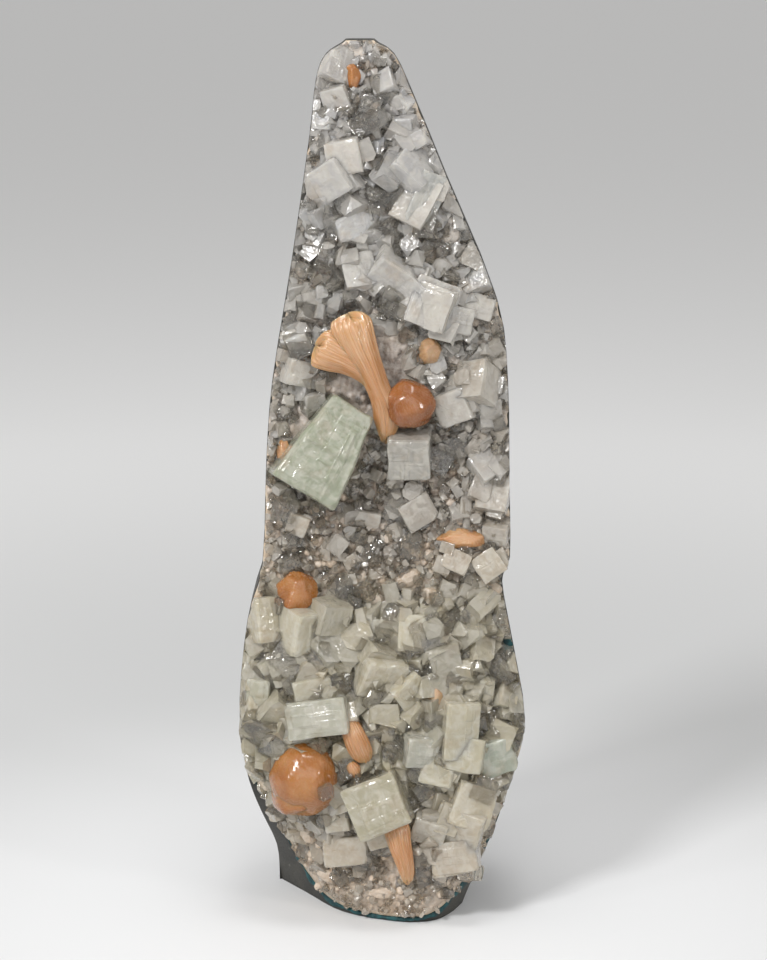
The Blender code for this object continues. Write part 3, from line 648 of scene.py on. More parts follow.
def crystal_material(name, transmission, rough, subsurface, whiteness, coat):
    """Glassy crystal under a clear gloss: milky veils inside it, brown stains in places, fine growth lines
    along its own faces, low four-sided growth hillocks that tilt the gloss patch by patch, and etched
    patches that break it into small glints."""
    material, tree, shader = new_material(name)
    tint = add_node(tree, "Attribute", {}, attribute_name="tint").outputs["Color"]
    grain = add_node(tree, "Attribute", {}, attribute_name="grain").outputs["Vector"]
    clouds = noise_of(tree, grain, 0.17, 2.0, 0.5, 1.0)
    veils = in_range(tree, clouds, 0.36, 0.66, whiteness - 0.2, whiteness + 0.2)
    whiter = mixed(tree, veils, tint, (0.88, 0.84, 0.75))
    stains = in_range(tree, noise_of(tree, object_place(tree), 95.0, 3.0, 0.55), 0.52, 0.74)
    stained = mixed(tree, summed(tree, stains, 0.35, "MULTIPLY"), whiter, (0.70, 0.56, 0.42), "MULTIPLY")
    lines = noise_of(tree, stretched(tree, grain, (0.50, 0.50, 0.07)), 1.0, 1.0, 0.4)
    etched = noise_of(tree, grain, 0.75, 1.0, 0.4)
    patches = in_range(tree, noise_of(tree, grain, 0.15, 2.0), 0.50, 0.62)
    cells = add_node(tree, "TexVoronoi", {"Vector": grain, "Scale": 0.45}, distance="CHEBYCHEV")
    hillocks = cells.outputs["Distance"]
    relief = summed(tree, summed(tree, lines, summed(tree, etched, patches, "MULTIPLY")), hillocks)
    tilted = bumped(tree, relief, 1.0, 0.20 * MM)
    set_shader(
        tree, shader, Base_Color=stained, Roughness=in_range(tree, patches, 0.0, 1.0, rough, rough + 0.10),
        IOR=1.535, Transmission_Weight=transmission, Subsurface_Weight=subsurface,
        Subsurface_Radius=(1.0, 0.95, 0.85), Subsurface_Scale=4.0 * MM, Normal=tilted,
        Coat_Weight=coat, Coat_Roughness=0.05, Coat_IOR=1.5, Coat_Normal=tilted,
    )
    return material


def chalcedony_material():
    """Granular cream to grey chalcedony: its colour by place, with painted shade in hollows and gaps carried
    in its tint, brown films, grains and glints.
    """
    material, tree, shader = new_material("granular chalcedony")
    place = object_place(tree)
    tint = add_node(tree, "Attribute", {}, attribute_name="tint").outputs["Color"]
    grains = add_node(tree, "TexVoronoi", {"Vector": place, "Scale": 620.0}).outputs["Distance"]
    fine = noise_of(tree, place, 900.0, 4.0, 0.65)
    clouds = noise_of(tree, place, 90.0, 4.0, 0.6)
    lighter = mixed(tree, in_range(tree, clouds, 0.35, 0.7), tint, (0.93, 0.86, 0.78), "MULTIPLY")
    frosted = mixed(tree, in_range(tree, fine, 0.45, 0.85, 0.0, 0.5), lighter, (0.74, 0.70, 0.63))
    film = in_range(tree, noise_of(tree, place, 160.0, 5.0, 0.7), 0.57, 0.72, 0.0, 0.55)
    filmed = mixed(tree, film, frosted, (0.45, 0.30, 0.20), "MULTIPLY")
    relief = summed(tree, grains, summed(tree, fine, 0.6, "MULTIPLY"))
    set_shader(
        tree, shader, Base_Color=filmed, Roughness=in_range(tree, fine, 0.3, 0.8, 0.22, 0.60), IOR=1.54,
        Subsurface_Weight=0.25, Subsurface_Radius=(1.0, 0.8, 0.6), Subsurface_Scale=1.5 * MM,
        Normal=bumped(tree, relief, 0.65, 0.35 * MM), Specular_IOR_Level=0.6,
    )
    return material


def basalt_material():
    """Dark olive-grey sawn rock: fine grain, saw lines, filled gas bubbles and a rougher broken back."""
    material, tree, shader = new_material("sawn basalt")
    place = object_place(tree)
    broken = add_node(tree, "Attribute", {}, attribute_name="broken").outputs["Fac"]
    grain = noise_of(tree, place, 1500.0, 5.0, 0.7)
    patches = noise_of(tree, place, 45.0, 4.0, 0.6)
    olive = mixed(tree, in_range(tree, patches, 0.35, 0.68), (0.020, 0.020, 0.017), (0.048, 0.045, 0.036))
    speckled = mixed(tree, in_range(tree, grain, 0.56, 0.72, 0.0, 0.55), olive, (0.105, 0.098, 0.082))
    bubbles = add_node(tree, "TexVoronoi", {"Vector": place, "Scale": 110.0}).outputs["Distance"]
    filled = in_range(tree, bubbles, 0.05, 0.12, 0.6, 0.0)
    spotted = mixed(tree, summed(tree, filled, patches, "MULTIPLY"), speckled, (0.26, 0.26, 0.22))
    brown = in_range(tree, noise_of(tree, place, 28.0, 5.0, 0.65), 0.52, 0.70, 0.0, 1.0)
    weathered = mixed(tree, summed(tree, brown, broken, "MULTIPLY"), spotted, (0.060, 0.043, 0.028))
    saw_lines = noise_of(tree, stretched(tree, place, (60.0, 60.0, 2600.0)), 1.0, 2.0, 0.4)
    even = summed(tree, summed(tree, 1.0, broken, "SUBTRACT"), 0.35, "MULTIPLY")
    rock = noise_of(tree, place, 420.0, 6.0, 0.7)
    rougher = summed(tree, summed(tree, rock, broken, "MULTIPLY"), 2.2, "MULTIPLY")
    relief = summed(tree, summed(tree, saw_lines, even, "MULTIPLY"), summed(tree, rougher, grain))
    set_shader(
        tree, shader, Base_Color=weathered, Roughness=in_range(tree, grain, 0.3, 0.7, 0.42, 0.72), IOR=1.6,
        Normal=bumped(tree, relief, 0.7, 0.25 * MM),
    )
    return material


def celadonite_material():
    """Dark teal earthy mineral with blue and green patches and a felt of short fibres."""
    material, tree, shader = new_material("celadonite")
    place = object_place(tree)
    patches = noise_of(tree, place, 220.0, 4.0, 0.6)
    colour = mixed(tree, in_range(tree, patches, 0.35, 0.65), (0.003, 0.030, 0.036), (0.012, 0.085, 0.092))
    fibres = noise_of(tree, stretched(tree, place, (900.0, 900.0, 2600.0)), 1.0, 3.0, 0.6)
    felted = mixed(tree, in_range(tree, fibres, 0.55, 0.8, 0.0, 0.6), colour, (0.05, 0.20, 0.20))
    relief = summed(tree, fibres, patches)
    set_shader(tree, shader, Base_Color=felted, Roughness=0.62, Normal=bumped(tree, relief, 0.9, 0.4 * MM))
    return material


def stilbite_material(name, light, deep, streak, roughness, contrast):
    """Silky stilbite: colour streaked along its blades, paler towards the ends, with a pearly gloss."""
    material, tree, shader = new_material(name)
    along = add_node(tree, "Attribute", {}, attribute_name="blades").outputs["Vector"]
    shade = add_node(tree, "Attribute", {}, attribute_name="shade").outputs["Fac"]
    blades = noise_of(tree, stretched(tree, along, (streak, 0.7, 1.0)), 1.0, 3.0, 0.55)
    fine = noise_of(tree, stretched(tree, along, (streak * 3.0, 1.6, 1.0)), 1.0, 3.0, 0.6)
    body = mixed(tree, in_range(tree, shade, 0.0, 1.0), deep, light)
    streaks = in_range(tree, blades, 0.38, 0.68, 0.0, contrast)
    streaked = mixed(tree, streaks, body, tuple(0.16 + 0.9 * c for c in light))
    milky = in_range(tree, noise_of(tree, object_place(tree), 90.0, 2.0, 0.5), 0.48, 0.72, 0.0, 0.35)
    pearly = mixed(tree, milky, streaked, tuple(0.08 + 0.95 * c for c in light))
    pimples = summed(tree, noise_of(tree, object_place(tree), 420.0, 1.0), 2.0 - 2.0 * contrast, "MULTIPLY")
    grooves = summed(tree, blades, contrast, "MULTIPLY")
    relief = summed(tree, grooves, summed(tree, summed(tree, fine, 0.4, "MULTIPLY"), pimples))
    set_shader(
        tree, shader, Base_Color=pearly, IOR=1.50,
        Roughness=in_range(tree, fine, 0.35, 0.7, roughness, roughness + 0.22),
        Subsurface_Weight=0.5, Subsurface_Radius=(1.0, 0.45, 0.2), Subsurface_Scale=3.0 * MM,
        Coat_Weight=0.6, Coat_Roughness=0.06, Normal=bumped(tree, relief, 0.8, 0.16 * MM),
    )
    return material


# The crust

def bump_field(x, z, size, seed):
    """Height from 0 to 1 of grains side by side: each cell of a jittered lattice holds a four-sided cone of
    chance size and turn, and the highest of the nine nearest counts."""
    column, row = np.floor(x / size), np.floor(z / size)
    height = np.zeros_like(x)
    for step_x, step_z in product((-1, 0, 1), repeat=2):
        cell = np.stack([column + step_x, row + step_z, np.zeros_like(x)], axis=-1)
        one, two, three, four = (lattice_chance(cell, seed + k) for k in range(4))
        across = x / size - (cell[..., 0] + 0.15 + 0.7 * one)
        up = z / size - (cell[..., 1] + 0.15 + 0.7 * two)
        turn = three * math.pi
        u = np.abs(across * np.cos(turn) + up * np.sin(turn))
        v = np.abs(up * np.cos(turn) - across * np.sin(turn))
        cone = (0.55 + 0.45 * four) * (1.0 - 1.25 * np.maximum(u, v) - 0.35 * np.minimum(u, v))
        height = np.maximum(height, cone)
    return height


def rim_basalt(z, side_table):
    """Width of the dark basalt that shows at one sawn rim, from its table, made ragged by noise."""
    place = np.stack([np.zeros_like(z), np.zeros_like(z), z], axis=-1)
    ragged = np.clip(1.0 + 0.8 * soft_noise(place, 3 * MM, len(side_table)), 0.0, 2.0)
    return by_height(side_table, z) * ragged * MM


def crust_bed(material):
    """The chalcedony bed between the crystals. Across: a share of the width, then back behind. Up: height.
    Its y is the crust's front less two sizes of grains, level within 3 mm of the sawn rim."""
    rows, columns, behind = 470, 186, 8
    rise = np.linspace(0.0, 1.0, rows)
    z = (2.1 * MM + (TOP - 2.1 * MM) * rise)[:, None]
    left, right = crust_width_at(z)
    above_foot = smooth_step((z - 60 * MM) / (20 * MM))
    left = left + rim_basalt(z, LEFT_RIM_BASALT) * above_foot
    right = right - rim_basalt(z, RIGHT_RIM_BASALT) * above_foot
    share = np.linspace(0.0, 1.0, columns)[None]
    x = left + (right - left) * share
    z_all = np.broadcast_to(z, x.shape)
    inside = smooth_step(np.minimum(inside_crust(x, z_all), TOP - z_all) / (3.5 * MM))
    granular = smooth_step((60 * MM - z_all) / (25 * MM)) + np.exp(-((z_all - 185 * MM) / (30 * MM)) ** 2)
    small = bump_field(x, z_all, 2.6 * MM, 5) * 1.1 * MM
    large = bump_field(x, z_all, 6.5 * MM, 9) * (2.4 - 1.0 * np.clip(granular, 0, 1)) * MM
    grains = small + large
    level = crust_y(x, z_all)
    sawn = front_y(share_of_width(x, z_all), z_all)
    y = sawn + (level - sawn - grains + 1.0 * MM) * inside
    back_share = np.linspace(1.0, 0.0, behind)[None]
    back_x = left + (right - left) * back_share
    back_z = np.broadcast_to(z, back_x.shape)
    back_y = front_y(share_of_width(back_x, back_z), back_z) + CRUST_DEPTH - 0.4 * MM
    rings = np.concatenate([np.stack([x, y, z_all], -1), np.stack([back_x, back_y, back_z], -1)], axis=1)
    colour = by_height(CHALCEDONY_COLOURS, z_all)
    # Painted shade: the bed's colour is darkened in the hollows between its grains, where shade falls.
    hollow = 1.0 - smooth_step(grains / (2.2 * MM))
    colour = colour * (1.0 - 0.45 * hollow[..., None] * inside[..., None])
    cream = np.array((0.66, 0.55, 0.42))
    colour = colour + (cream - colour) * (0.75 * (1.0 - inside))[..., None]
    # Painted shade: noise patches and a band near 235 mm darken the bed, standing for the shade in deep gaps
    # between crystals.
    gap_shade_noise = soft_noise(rings[:, :columns], 9 * MM, 31) + 0.5 * soft_noise(rings[:, :columns], 3 * MM, 32)
    dark = smooth_step((np.abs(z_all / MM - 235) < 22) * 0.3 + (gap_shade_noise - 0.55) / 0.25) * inside
    colour = colour * (1.0 - 0.75 * dark[..., None])
    behind_colour = np.broadcast_to(cream * 0.8, (rows, behind, 3))
    points, faces = closed_rings(rings)
    tint = with_ends(colour_rows(np.concatenate([colour, behind_colour], axis=1)))
    return new_piece("chalcedony_bed", points, faces, material, slot="chalcedony_crust",
                     stands_for=("crystal_crust",), tint=tint)


def clear_of_pieces(places, share):
    """True where a place on the face isn't behind a large crystal: outside the ellipse that fills this
    share of each such solid's box."""
    free = np.ones(len(places), bool)
    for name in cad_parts:
        if name in ("basalt_matrix", "crystal_crust"):
            continue
        low, high = (np.array(corner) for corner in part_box(name))
        middle, half = (low + high) / 2, (high - low) / 2 * share
        free &= np.sum(((places - middle) / half)[:, [0, 2]] ** 2, axis=1) > 1.0
    return free


def scattered(chance, spacing, table, margin):
    """Places over the crust on a jittered lattice, kept by the share that a table gives their height."""
    x, z = np.meshgrid(np.arange(-68, 68, spacing), np.arange(2, 401, spacing * 0.87))
    offset = (np.arange(len(x)) % 2)[:, None] * spacing / 2
    x = (x + offset + chance.uniform(-0.38, 0.38, x.shape) * spacing) * MM
    z = (z + chance.uniform(-0.38, 0.38, z.shape) * spacing) * MM
    x, z = x.ravel(), z.ravel()
    keep = (inside_crust(x, z) > margin) & (chance.uniform(size=len(x)) < by_height(table, z))
    x, z = x[keep], z[keep]
    return np.stack([x, crust_y(x, z), z], axis=-1)


MEDIUM_SHARE = [
    (0, 0.0), (18, 0.3), (45, 0.85), (80, 1.0), (140, 1.0), (160, 0.45), (200, 0.5), (225, 0.85),
    (400, 0.95),
]
MEDIUM_SIZE = [
    (0, 3.0), (50, 4.8), (80, 6.8), (140, 6.4), (165, 3.4), (205, 3.4), (230, 4.4), (330, 5.2),
    (400, 4.4),
]
SMALL_SHARE = [(0, 0.7), (30, 0.9), (60, 0.9), (400, 1.0)]
SMALL_SIZE = [(0, 1.3), (45, 1.8), (90, 2.4), (150, 2.0), (190, 1.7), (230, 2.0), (400, 2.2)]


def add_boxes(druse, chance, size, cuts, spread, places, tints):
    """Adds boxes of chance proportions with cut corners, which lean out of the face. The cut is a share, in
    this range, of the least half size."""
    half = size[:, None] * chance.uniform(0.55, 1.0, (len(size), 3))
    cut = half.min(axis=1) * chance.uniform(*cuts, len(size))
    turns = leaning_turns(chance, len(size), spread)
    druse.add(cut_boxes(half, cut), CUT_BOX_FACES, turns, places, tints, chance)


def add_points(druse, chance, size, sides, widths, lengths, shoulders, tips, spread, places, tints):
    """Adds pointed prisms whose width, length, shoulder and tip are shares, each in a range."""
    count = len(size)
    width = chance.uniform(*widths, count)
    half = size[:, None] * np.stack([width, width, chance.uniform(*lengths, count)], -1)
    forms = pointed_prisms(half, chance.uniform(*shoulders, count), chance.uniform(*tips, count), sides)
    druse.add(forms, prism_faces(sides), leaning_turns(chance, count, spread), places, tints, chance)


def medium_crystals(chance, clear, cloudy):
    """Crystals of 6 to 14 mm over the whole crust: cut boxes, four-sided and six-sided points."""
    places = scattered(chance, 6.3, MEDIUM_SHARE, 1.6 * MM)
    places = places[clear_of_pieces(places, 0.62)]
    count = len(places)
    places[:, 1] -= chance.uniform(-1.0, 3.2, count) * MM
    size = by_height(MEDIUM_SIZE, places[:, 2]) * MM * chance.uniform(0.7, 1.35, count)
    kind = chance.uniform(size=count)
    glass = chance.uniform(size=count) < 0.36
    tints = tints_at(chance, places)
    for druse, of_druse in ((clear, glass), (cloudy, ~glass)):
        box = of_druse & (kind < 0.62)
        sunk = places[box] + np.array((0, 0.15, 0)) * size[box, None]
        add_boxes(druse, chance, size[box], (0.12, 0.75), 0.55, sunk, tints[box])
        for sides, low, high in ((4, 0.62, 0.86), (6, 0.86, 1.01)):
            sharp = of_druse & (kind >= low) & (kind < high)
            add_points(druse, chance, size[sharp], sides, (0.45, 0.65), (0.9, 1.4), (-0.1, 0.5), (0.08, 0.4),
                       0.6, places[sharp], tints[sharp])


GRAIN_SHARE = [(0, 1), (60, 0.6), (90, 0), (150, 0), (165, 1), (225, 1), (245, 0.3), (400, 0.4)]


def small_crystals(chance, clear, cloudy, knobs):
    """Drusy crystals of 2 to 5 mm in the gaps, and grains of chalcedony in the middle and at the foot."""
    places = scattered(chance, 3.1, SMALL_SHARE, 0.8 * MM)
    places = places[clear_of_pieces(places, 0.75)]
    count = len(places)
    size = by_height(SMALL_SIZE, places[:, 2]) * MM * chance.uniform(0.6, 1.5, count)
    forward = places + np.array((0, -1.0, 0)) * (chance.uniform(0.2, 1.6, (count, 1)) * MM)
    kind = chance.uniform(size=count)
    glass = chance.uniform(size=count) < 0.38
    tints = tints_at(chance, places, 0.10)
    for druse, of_druse in ((clear, glass), (cloudy, ~glass)):
        box = of_druse & (kind < 0.45)
        add_boxes(druse, chance, size[box], (0.1, 0.7), 0.7, forward[box], tints[box])
        sharp = of_druse & (kind >= 0.45) & (kind < 0.86)
        add_points(druse, chance, size[sharp], 4, (0.5, 0.7), (0.9, 1.5), (-0.2, 0.4), (0.05, 0.4), 0.65,
                   forward[sharp], tints[sharp])
    grain = (kind >= 0.86) & (by_height(GRAIN_SHARE, places[:, 2]) > chance.uniform(size=count))
    colour = by_height(CHALCEDONY_COLOURS, places[grain, 2]) * 1.05
    half = size[grain, None] * chance.uniform(0.8, 1.2, (grain.sum(), 3))
    turns = leaning_turns(chance, grain.sum(), 0.8)
    knobs.add(rounded_knobs(half), knob_faces(), turns, places[grain], colour, chance)


def seen_crystals(chance, blocks, clear, cloudy, knobs):
    """The crystals that the picture shows: blocks as stepped grids with smaller boxes grown along with them,
    points and long blades in clear crystal, knobs of chalcedony, and a clear crystal on the large ball."""
    px, py, wide, tall, roll = np.array(BLOCKS_SEEN, float).T
    wide, tall = wide * SIZE_OF_PIXEL / 2, tall * SIZE_OF_PIXEL / 2
    narrow = np.minimum(wide, tall)
    places = behind_pixels(px, py, 0.25 * narrow)
    turn, tip = chance.uniform(-38, 38, len(px)), chance.uniform(-38, 30, len(px))
    tints = tints_at(chance, places)
    half = np.stack([wide, 0.8 * narrow, tall], -1)
    turns = picture_turns(roll, turn, tip)
    grids = stepped_blocks(half, 0.35 * narrow * chance.uniform(0.2, 1.0, len(px)), 1.0, chance)
    blocks.add_grids(grids, turns, places, tints, chance)
    for scale in (0.75, 0.6, 0.5, 0.4):
        rolled = roll + 8 * chance.normal(size=len(px))
        turns = picture_turns(rolled, turn + 8 * chance.normal(size=len(px)), tip)
        smaller = half * scale * chance.uniform(0.7, 1.1, (len(px), 3))
        aside = np.einsum("nij,nj->ni", turns, half * chance.choice((-0.85, 0.0, 0.85), (len(px), 3)))
        aside[:, 1] = np.clip(aside[:, 1], -0.3 * narrow, None)
        cut = smaller.min(axis=1) * chance.uniform(0.1, 0.7, len(px))
        druse = clear if scale in (0.6, 0.4) else cloudy
        druse.add(cut_boxes(smaller, cut), CUT_BOX_FACES, turns, places + aside, tints, chance)
    for rows, pointed in ((POINTS_SEEN, True), (LONG_BLADES_SEEN, False)):
        px, py, wide, tall, roll = np.array(rows, float).T
        half = np.stack([wide, 0.8 * np.minimum(wide, tall), tall], -1) * SIZE_OF_PIXEL / 2
        places = behind_pixels(px, py, 0.5 * half.min(axis=1))
        tints = tints_at(chance, places)
        turns = picture_turns(roll, chance.uniform(-25, 25, len(px)), chance.uniform(-25, 25, len(px)))
        if pointed:
            tips = chance.uniform(0.1, 0.35, len(px))
            forms, faces = pointed_prisms(half, np.full(len(px), 0.15), tips, 4), prism_faces(4)
        else:
            forms, faces = cut_boxes(half, half.min(axis=1) * 0.4), CUT_BOX_FACES
        clear.add(forms, faces, turns, places, tints, chance)
    px, py, wide, tall, roll = np.array(KNOBS_SEEN, float).T
    half = np.stack([wide, 0.8 * np.minimum(wide, tall), tall], -1) * SIZE_OF_PIXEL / 2 * 0.85
    places = behind_pixels(px, py, 0.1 * half.min(axis=1))
    zero = np.zeros(len(px))
    colour = by_height(CHALCEDONY_COLOURS, places[:, 2]) * 0.88
    knobs.add(rounded_knobs(half), knob_faces(), picture_turns(roll, zero, zero), places, colour, chance)
    middle, half = middle_of("stilbite_ball_large")
    place = (middle + half * np.array((0.66, -0.84, 0.06)))[None]
    on_ball = cut_boxes(np.array([[3.2, 2.6, 3.0]]) * MM, np.array([0.8 * MM]))
    turns = picture_turns(np.array([8.0]), np.array([30.0]), np.array([6.0]))
    clear.add(on_ball, CUT_BOX_FACES, turns, place, tints_at(chance, place), chance)


# Stilbite and the large apophyllite crystals

def soft_polyhedron(directions, planes, sharpness):
    """Radius by direction of a rounded many-faced lump: one over the norm, of this power, of how far the
    direction reaches towards each plane's normal."""
    reach = np.clip(directions @ planes.T, 0.0, None)
    return 1.0 / np.sum(reach ** sharpness, axis=-1) ** (1.0 / sharpness)


def radiating_lump(middle, half, chance, planes, sharpness, ridges, depth, facing=(0.3, -1.0, 0.3)):
    """Points, faces, blade coordinates and shade of a lump of blades that start at one pole, which faces
    this way: by turn about the pole and angle from it, the radius is a soft polyhedron's, whose planes
    follow a spiral over the sphere, notched between blades by a wave of the turn."""
    rings, sides = 72, 120
    pole = np.array(facing) / np.linalg.norm(facing)
    side = np.cross(pole, (0.0, 0.0, 1.0))
    side /= np.linalg.norm(side)
    other = np.cross(pole, side)
    away = (np.linspace(0.0, math.pi, rings + 2)[1:-1])[:, None]
    turn = (2 * math.pi * np.arange(sides) / sides)[None]
    direction = (np.cos(away)[..., None] * pole + (np.sin(away) * np.cos(turn))[..., None] * side
                 + (np.sin(away) * np.sin(turn))[..., None] * other)
    level = 1.0 - 2.0 * (np.arange(planes) + 0.5) / planes
    spiral = np.arange(planes) * 2.39996 + chance.uniform(0, 6.28)
    ring = np.sqrt(1.0 - level ** 2)
    normals = np.stack([ring * np.cos(spiral), level, ring * np.sin(spiral)], -1)
    normals = normals + 0.12 * chance.normal(size=(planes, 3))
    normals /= np.linalg.norm(normals, axis=1)[:, None]
    radius = soft_polyhedron(direction, normals * chance.uniform(0.90, 1.06, (planes, 1)), sharpness)
    uneven = soft_noise(direction * 3.0, 1.0, planes) * 0.03
    notch = np.abs(((turn / (2 * math.pi) * ridges + 1.5 * soft_noise(direction, 0.5, 3)) % 1.0) - 0.5) * 2
    radius = radius * (1.0 + uneven + depth * (notch - 0.5) * np.sin(away))
    points, faces = closed_rings(direction * radius[..., None] * np.asarray(half) + np.asarray(middle))
    blades = np.stack([np.broadcast_to(turn, radius.shape), np.broadcast_to(away * 4, radius.shape),
                       np.zeros_like(radius)], -1)
    shade = 0.5 + 0.5 * soft_noise(direction * 1.4, 1.0, 7)
    return points, faces, with_ends(blades), with_ends(shade)


def sheaf_of_blades(rows, blades_across, ridge, ragged):
    """A fan of blades along a line in the picture, whose rows give pixel across and down, half width in
    pixels, half depth and distance forward in mm. Round each section the radius is an ellipse's, creased
    between blades; the blades reach unequally far along the line towards its ends."""
    rings, sides = 110, 96
    given = smooth_curve(rows, 12)
    along = np.linspace(0, 1, len(given))
    t = 0.5 - 0.5 * np.cos(np.linspace(0.0, math.pi, rings))
    px, py, half_width, half_depth, forward = (np.interp(t, along, column) for column in given.T)
    middle = behind_pixels(px, py, forward * MM, crust_level)
    step = np.gradient(middle, axis=0)
    step /= np.linalg.norm(step, axis=1)[:, None]
    across = np.cross(step, (0.0, 1.0, 0.0))
    across /= np.linalg.norm(across, axis=1)[:, None]
    out = np.cross(across, step)
    angle = (2 * math.pi * np.arange(sides) / sides)[None]
    blade = np.cos(angle) * blades_across / 2
    wander = soft_noise(np.stack(np.broadcast_arrays(blade, 3.0 * t[:, None], 0 * blade), -1), 1.7, 4)
    crease = np.abs(((blade + 0.5 * wander) % 1.0) - 0.5) * 2
    radius = 1.0 - ridge * crease ** 3 + 0.03 * wander
    end = np.sqrt(np.clip(1.0 - (2.0 * t - 1.0) ** 18, 0.0, 1.0))[:, None]
    width = (half_width * SIZE_OF_PIXEL)[:, None] * radius * end
    depth = (half_depth * MM)[:, None] * radius * end
    reach = ragged * MM * (lattice_chance(np.stack([np.round(blade), 0 * blade, 0 * blade], -1), 8) - 0.5)
    slide = reach * (np.abs(2 * t - 1) ** 3 * np.sign(2 * t - 1))[:, None]
    rings_at = (middle[:, None] + across[:, None] * (width * np.cos(angle))[..., None]
                + out[:, None] * (depth * np.sin(angle))[..., None] + step[:, None] * slide[..., None])
    points, faces = closed_rings(rings_at)
    flow = np.stack(np.broadcast_arrays(np.cos(angle) * 2.0, 6.0 * t[:, None], np.sin(angle) * 0.3), -1)
    shade = np.broadcast_to(np.abs(2 * t - 1)[:, None] ** 1.5, width.shape)
    return points, faces, with_ends(flow), with_ends(shade)


def grown_from(name, forms, material, **options):
    """One piece of several smooth forms that overlap, each with its points, faces, blades and shade."""
    offset, faces = 0, []
    for points, groups, _, _ in forms:
        faces += [group + offset for group in groups]
        offset += len(points)
    joined = [np.concatenate([form[i] for form in forms]) for i in (0, 2, 3)]
    return new_piece(name, joined[0], faces, material, blades=joined[1], shade=joined[2], **options)


def middle_of(name):
    """Middle and half sizes of a solid's box."""
    low, high = (np.array(corner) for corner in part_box(name))
    return (low + high) / 2, (high - low) / 2


def large_block(druse, chance, middle, size, cut, taper, angles, tint):
    """Adds one large crystal with growth terraces to a druse."""
    half = np.array([size], float) / 2 * MM
    turns = picture_turns(*(np.array([angle], float) for angle in angles))
    grids = stepped_blocks(half, np.array([cut * MM]), taper, chance, 26, 20, 8, 144, 9)
    druse.add_grids(grids, turns, middle[None], np.array([tint]), chance)


# Large apophyllite: solid's name, width, height, depth and cut corner in mm, share of the width left at the
# top, roll, turn and tip in degrees, and colour
LARGE_BLOCKS = [
    ("apophyllite_cube_front", 26, 25, 22, 0.8, 1.0, 23, -8, -9, (0.54, 0.50, 0.36)),
    ("apophyllite_block_large", 33, 45, 26, 3.0, 0.64, -31, 8, -8, (0.45, 0.48, 0.35)),
    ("apophyllite_prism_small", 19, 20, 17, 2.0, 1.0, 2, -6, 16, (0.52, 0.50, 0.45)),
    ("apophyllite_block_right", 18, 17, 15, 2.0, 1.0, 12, 16, 5, (0.52, 0.56, 0.46)),
    ("apophyllite_block_left", 28, 17, 16, 1.6, 1.0, 8, -12, -8, (0.58, 0.57, 0.47)),
    ("apophyllite_block_mid", 15, 14, 14, 1.2, 1.0, -8, 18, 6, (0.58, 0.57, 0.48)),
    ("apophyllite_block_tall_left", 11, 19, 12, 1.2, 1.0, -4, -14, 4, (0.60, 0.58, 0.45)),
    ("apophyllite_block_high_right", 13, 24, 12, 2.0, 1.0, -24, 14, 4, (0.55, 0.55, 0.52)),
]

# Large apophyllite grown from several blocks: solid's name, then x, z, width, height, depth in mm and angles
BLOCK_CLUSTERS = {
    "apophyllite_column_right": [(34, 93, 16, 27, 15, -4, 14, 4), (37, 81, 19, 16, 14, -8, -12, -8)],
    "apophyllite_plate_lower_right": [(35, 47, 22, 19, 12, -16, -18, 6), (33, 33, 21, 15, 12, 10, -10, -6)],
    "apophyllite_block_upper": [(21, 285, 21, 22, 13, -20, 10, -6), (14, 292, 15, 11, 12, -40, -14, 8),
                                (31, 279, 16, 12, 12, -15, 16, 4)],
}


def large_apophyllite(chance, material, green):
    """One piece for each large apophyllite solid."""
    for name, wide, tall, deep, cut, taper, roll, turn, tip, tint in LARGE_BLOCKS:
        druse = Druse()
        middle, _ = middle_of(name)
        large_block(druse, chance, middle, (wide, deep, tall), cut, taper, (roll, turn, tip), tint)
        shine = green if name == "apophyllite_block_large" else material
        druse.piece("grown_" + name, shine, slot="apophyllite", stands_for=(name,))
    for name, blocks in BLOCK_CLUSTERS.items():
        druse = Druse()
        for x, z, wide, tall, deep, roll, turn, tip in blocks:
            y = crust_level(np.array([x * MM]), np.array([z * MM]))[0] - 3 * MM
            tint = by_height(CRYSTAL_COLOURS, np.array([z * MM]))[0]
            large_block(druse, chance, np.array((x * MM, y, z * MM)), (wide, deep, tall), 1.2, 1.0,
                        (roll, turn, tip), tint)
        druse.piece("grown_" + name, material, slot="apophyllite", stands_for=(name,))


# Stilbite sheaves: rows of pixel across and down, half width in pixels, half depth and forward in mm
BOW_HEAD_SEEN = (410.0, 405.0)
BOW_LEFT = [
    (386, 414, 4, 4, 4), (381, 396, 8, 5, 6), (368, 376, 10, 6.5, 8), (350, 361, 15, 6.5, 9),
    (331, 352, 20, 5.5, 10), (318, 346, 22, 4, 10),
]
BOW_RIGHT = [
    (385, 440, 5, 3, 4), (387, 430, 10, 6, 5), (387, 416, 14, 7.5, 6), (384, 402, 13, 8, 7),
    (378, 387, 12, 8, 8), (369, 366, 14, 8, 9.5), (360, 347, 18, 7.5, 10.5), (353, 330, 21, 6, 11),
    (349, 316, 22, 4, 10.5),
]
SHEAF_CENTRE = [
    (344, 713, 5, 3, 3), (349, 722, 9, 5, 5), (355, 736, 12, 6, 6), (361, 750, 12, 5, 5),
    (366, 761, 7, 3, 3),
]
SHEAF_CENTRE_BIT = [(350, 763, 5, 3, 3), (354, 769, 7, 4, 4), (358, 776, 4, 3, 3)]
SHEAF_FRONT = [
    (394, 817, 8, 3, 5), (397, 828, 13, 5, 7), (400, 843, 12, 5.5, 8), (404, 858, 10, 5, 8),
    (407, 871, 8, 4, 7), (409, 882, 5, 2, 6),
]
SHEAF_FRONT_EDGE = [(386, 822, 4, 2, 6), (390, 838, 5, 3, 8), (396, 854, 4, 3, 8), (401, 868, 3, 2, 6)]


ROUND_STILBITE = [
    "stilbite_ball_left", "stilbite_bud_top", "stilbite_bud_upper", "stilbite_blade_right", "stilbite_flake",
    "stilbite_wedge",
]


